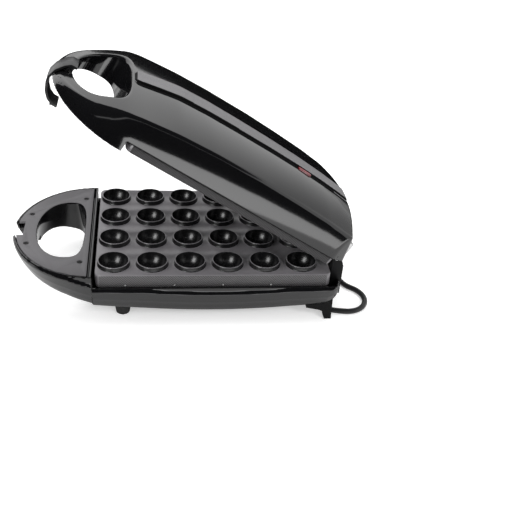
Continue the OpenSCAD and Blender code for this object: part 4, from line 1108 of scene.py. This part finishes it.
# the streak in each cup: a lamp that only the baking plates mirror
cup_box = softbox("cup_box", (0.86, -0.67, 0.62), (0, 0, 0.06), (0.5, 0.85), 12)
cup_box.visible_diffuse = False
cup_lit = bpy.data.collections.new("cup_lit")
cup_lit.objects.link(lower_casting)
cup_lit.objects.link(upper_casting)
cup_box.light_linking.receiver_collection = cup_lit

# ---------------------------------------------------------------- cards that only glossy surfaces show
FAR_X, NEAR_X = -1.2, 1.5
FRONT_Y, REAR_Y = -1.5, 1.6
CEILING_Z = 1.4
CARD_Z = 0.002  # height of the cards on the near floor
FAR_CARD_Z = 0.001  # and of the one on the far floor
FLOOR_CARD_X = 0.4  # where the two cards on the near floor begin
FLOOR_SPLIT_Y = -0.12  # and where the dark one gives way to the lit one

matt_black = bpy.data.materials.new("matt_black_card")
matt_black.use_nodes = True
card_shader = matt_black.node_tree.nodes["Principled BSDF"]
card_shader.inputs["Base Color"].default_value = (0.004, 0.004, 0.004, 1)
card_shader.inputs["Specular IOR Level"].default_value = 0.0


def upright(x0, x1, y0, y1, z0, z1):
    """Corners of an upright rectangle over the line from (x0, y0) to (x1, y1)."""
    return [(x0, y0, z0), (x1, y1, z0), (x1, y1, z1), (x0, y0, z1)]


def card(name, corners, material=matt_black):
    """A card of the studio; a black one takes a reflection away."""
    mesh = bpy.data.meshes.new(name)
    mesh.from_pydata(corners, [], [tuple(range(len(corners)))])
    mesh.materials.append(material)
    o = bpy.data.objects.new(name, mesh)
    bpy.context.collection.objects.link(o)
    o.visible_camera = o.visible_diffuse = o.visible_shadow = False


def graded_light(name, span, strengths):
    """Light that runs from one strength to another over a span of Y."""
    material = bpy.data.materials.new(name)
    material.use_nodes = True
    t = material.node_tree
    t.nodes.remove(t.nodes["Principled BSDF"])
    glow = t.nodes.new("ShaderNodeEmission")
    where = t.nodes.new("ShaderNodeTexCoord")
    split = t.nodes.new("ShaderNodeSeparateXYZ")
    fade = t.nodes.new("ShaderNodeMapRange")
    fade.interpolation_type = "SMOOTHSTEP"
    fade.inputs["From Min"].default_value, fade.inputs["From Max"].default_value = span
    fade.inputs["To Min"].default_value, fade.inputs["To Max"].default_value = strengths
    t.links.new(where.outputs["Object"], split.inputs["Vector"])
    t.links.new(split.outputs["Y"], fade.inputs["Value"])
    t.links.new(fade.outputs["Result"], glow.inputs["Strength"])
    t.links.new(glow.outputs["Emission"], t.nodes["Material Output"].inputs["Surface"])
    return material


card("ceiling_card", level(FAR_X, 1.3, FRONT_Y, REAR_Y, CEILING_Z))
card("camera_card", upright(NEAR_X, NEAR_X, FRONT_Y, REAR_Y, 0, CEILING_Z))
card("front_card", upright(FAR_X, NEAR_X, FRONT_Y, FRONT_Y, 0, CEILING_Z))
card("far_card", [(FAR_X, y, z) for y, z in ((-0.5, 0), (0.8, 0), (0.8, 0.22), (0.2, 0.48), (-0.5, 0.48))])
card("front_floor_card", level(FLOOR_CARD_X, NEAR_X, FRONT_Y, FLOOR_SPLIT_Y, CARD_Z))
card("far_floor_card", level(FAR_X, -0.25, -0.5, 1.3, FAR_CARD_Z))
card("far_backdrop", upright(-1.25, -1.25, FRONT_Y, 1.8, 0.1, CEILING_Z),
     graded_light("far_backdrop", (0.6, 1.5), (1.22, 0.45)))
card("near_floor", level(FLOOR_CARD_X, NEAR_X, FLOOR_SPLIT_Y, REAR_Y, CARD_Z),
     graded_light("near_floor", (-0.1, 1.6), (3.6, 3.2)))
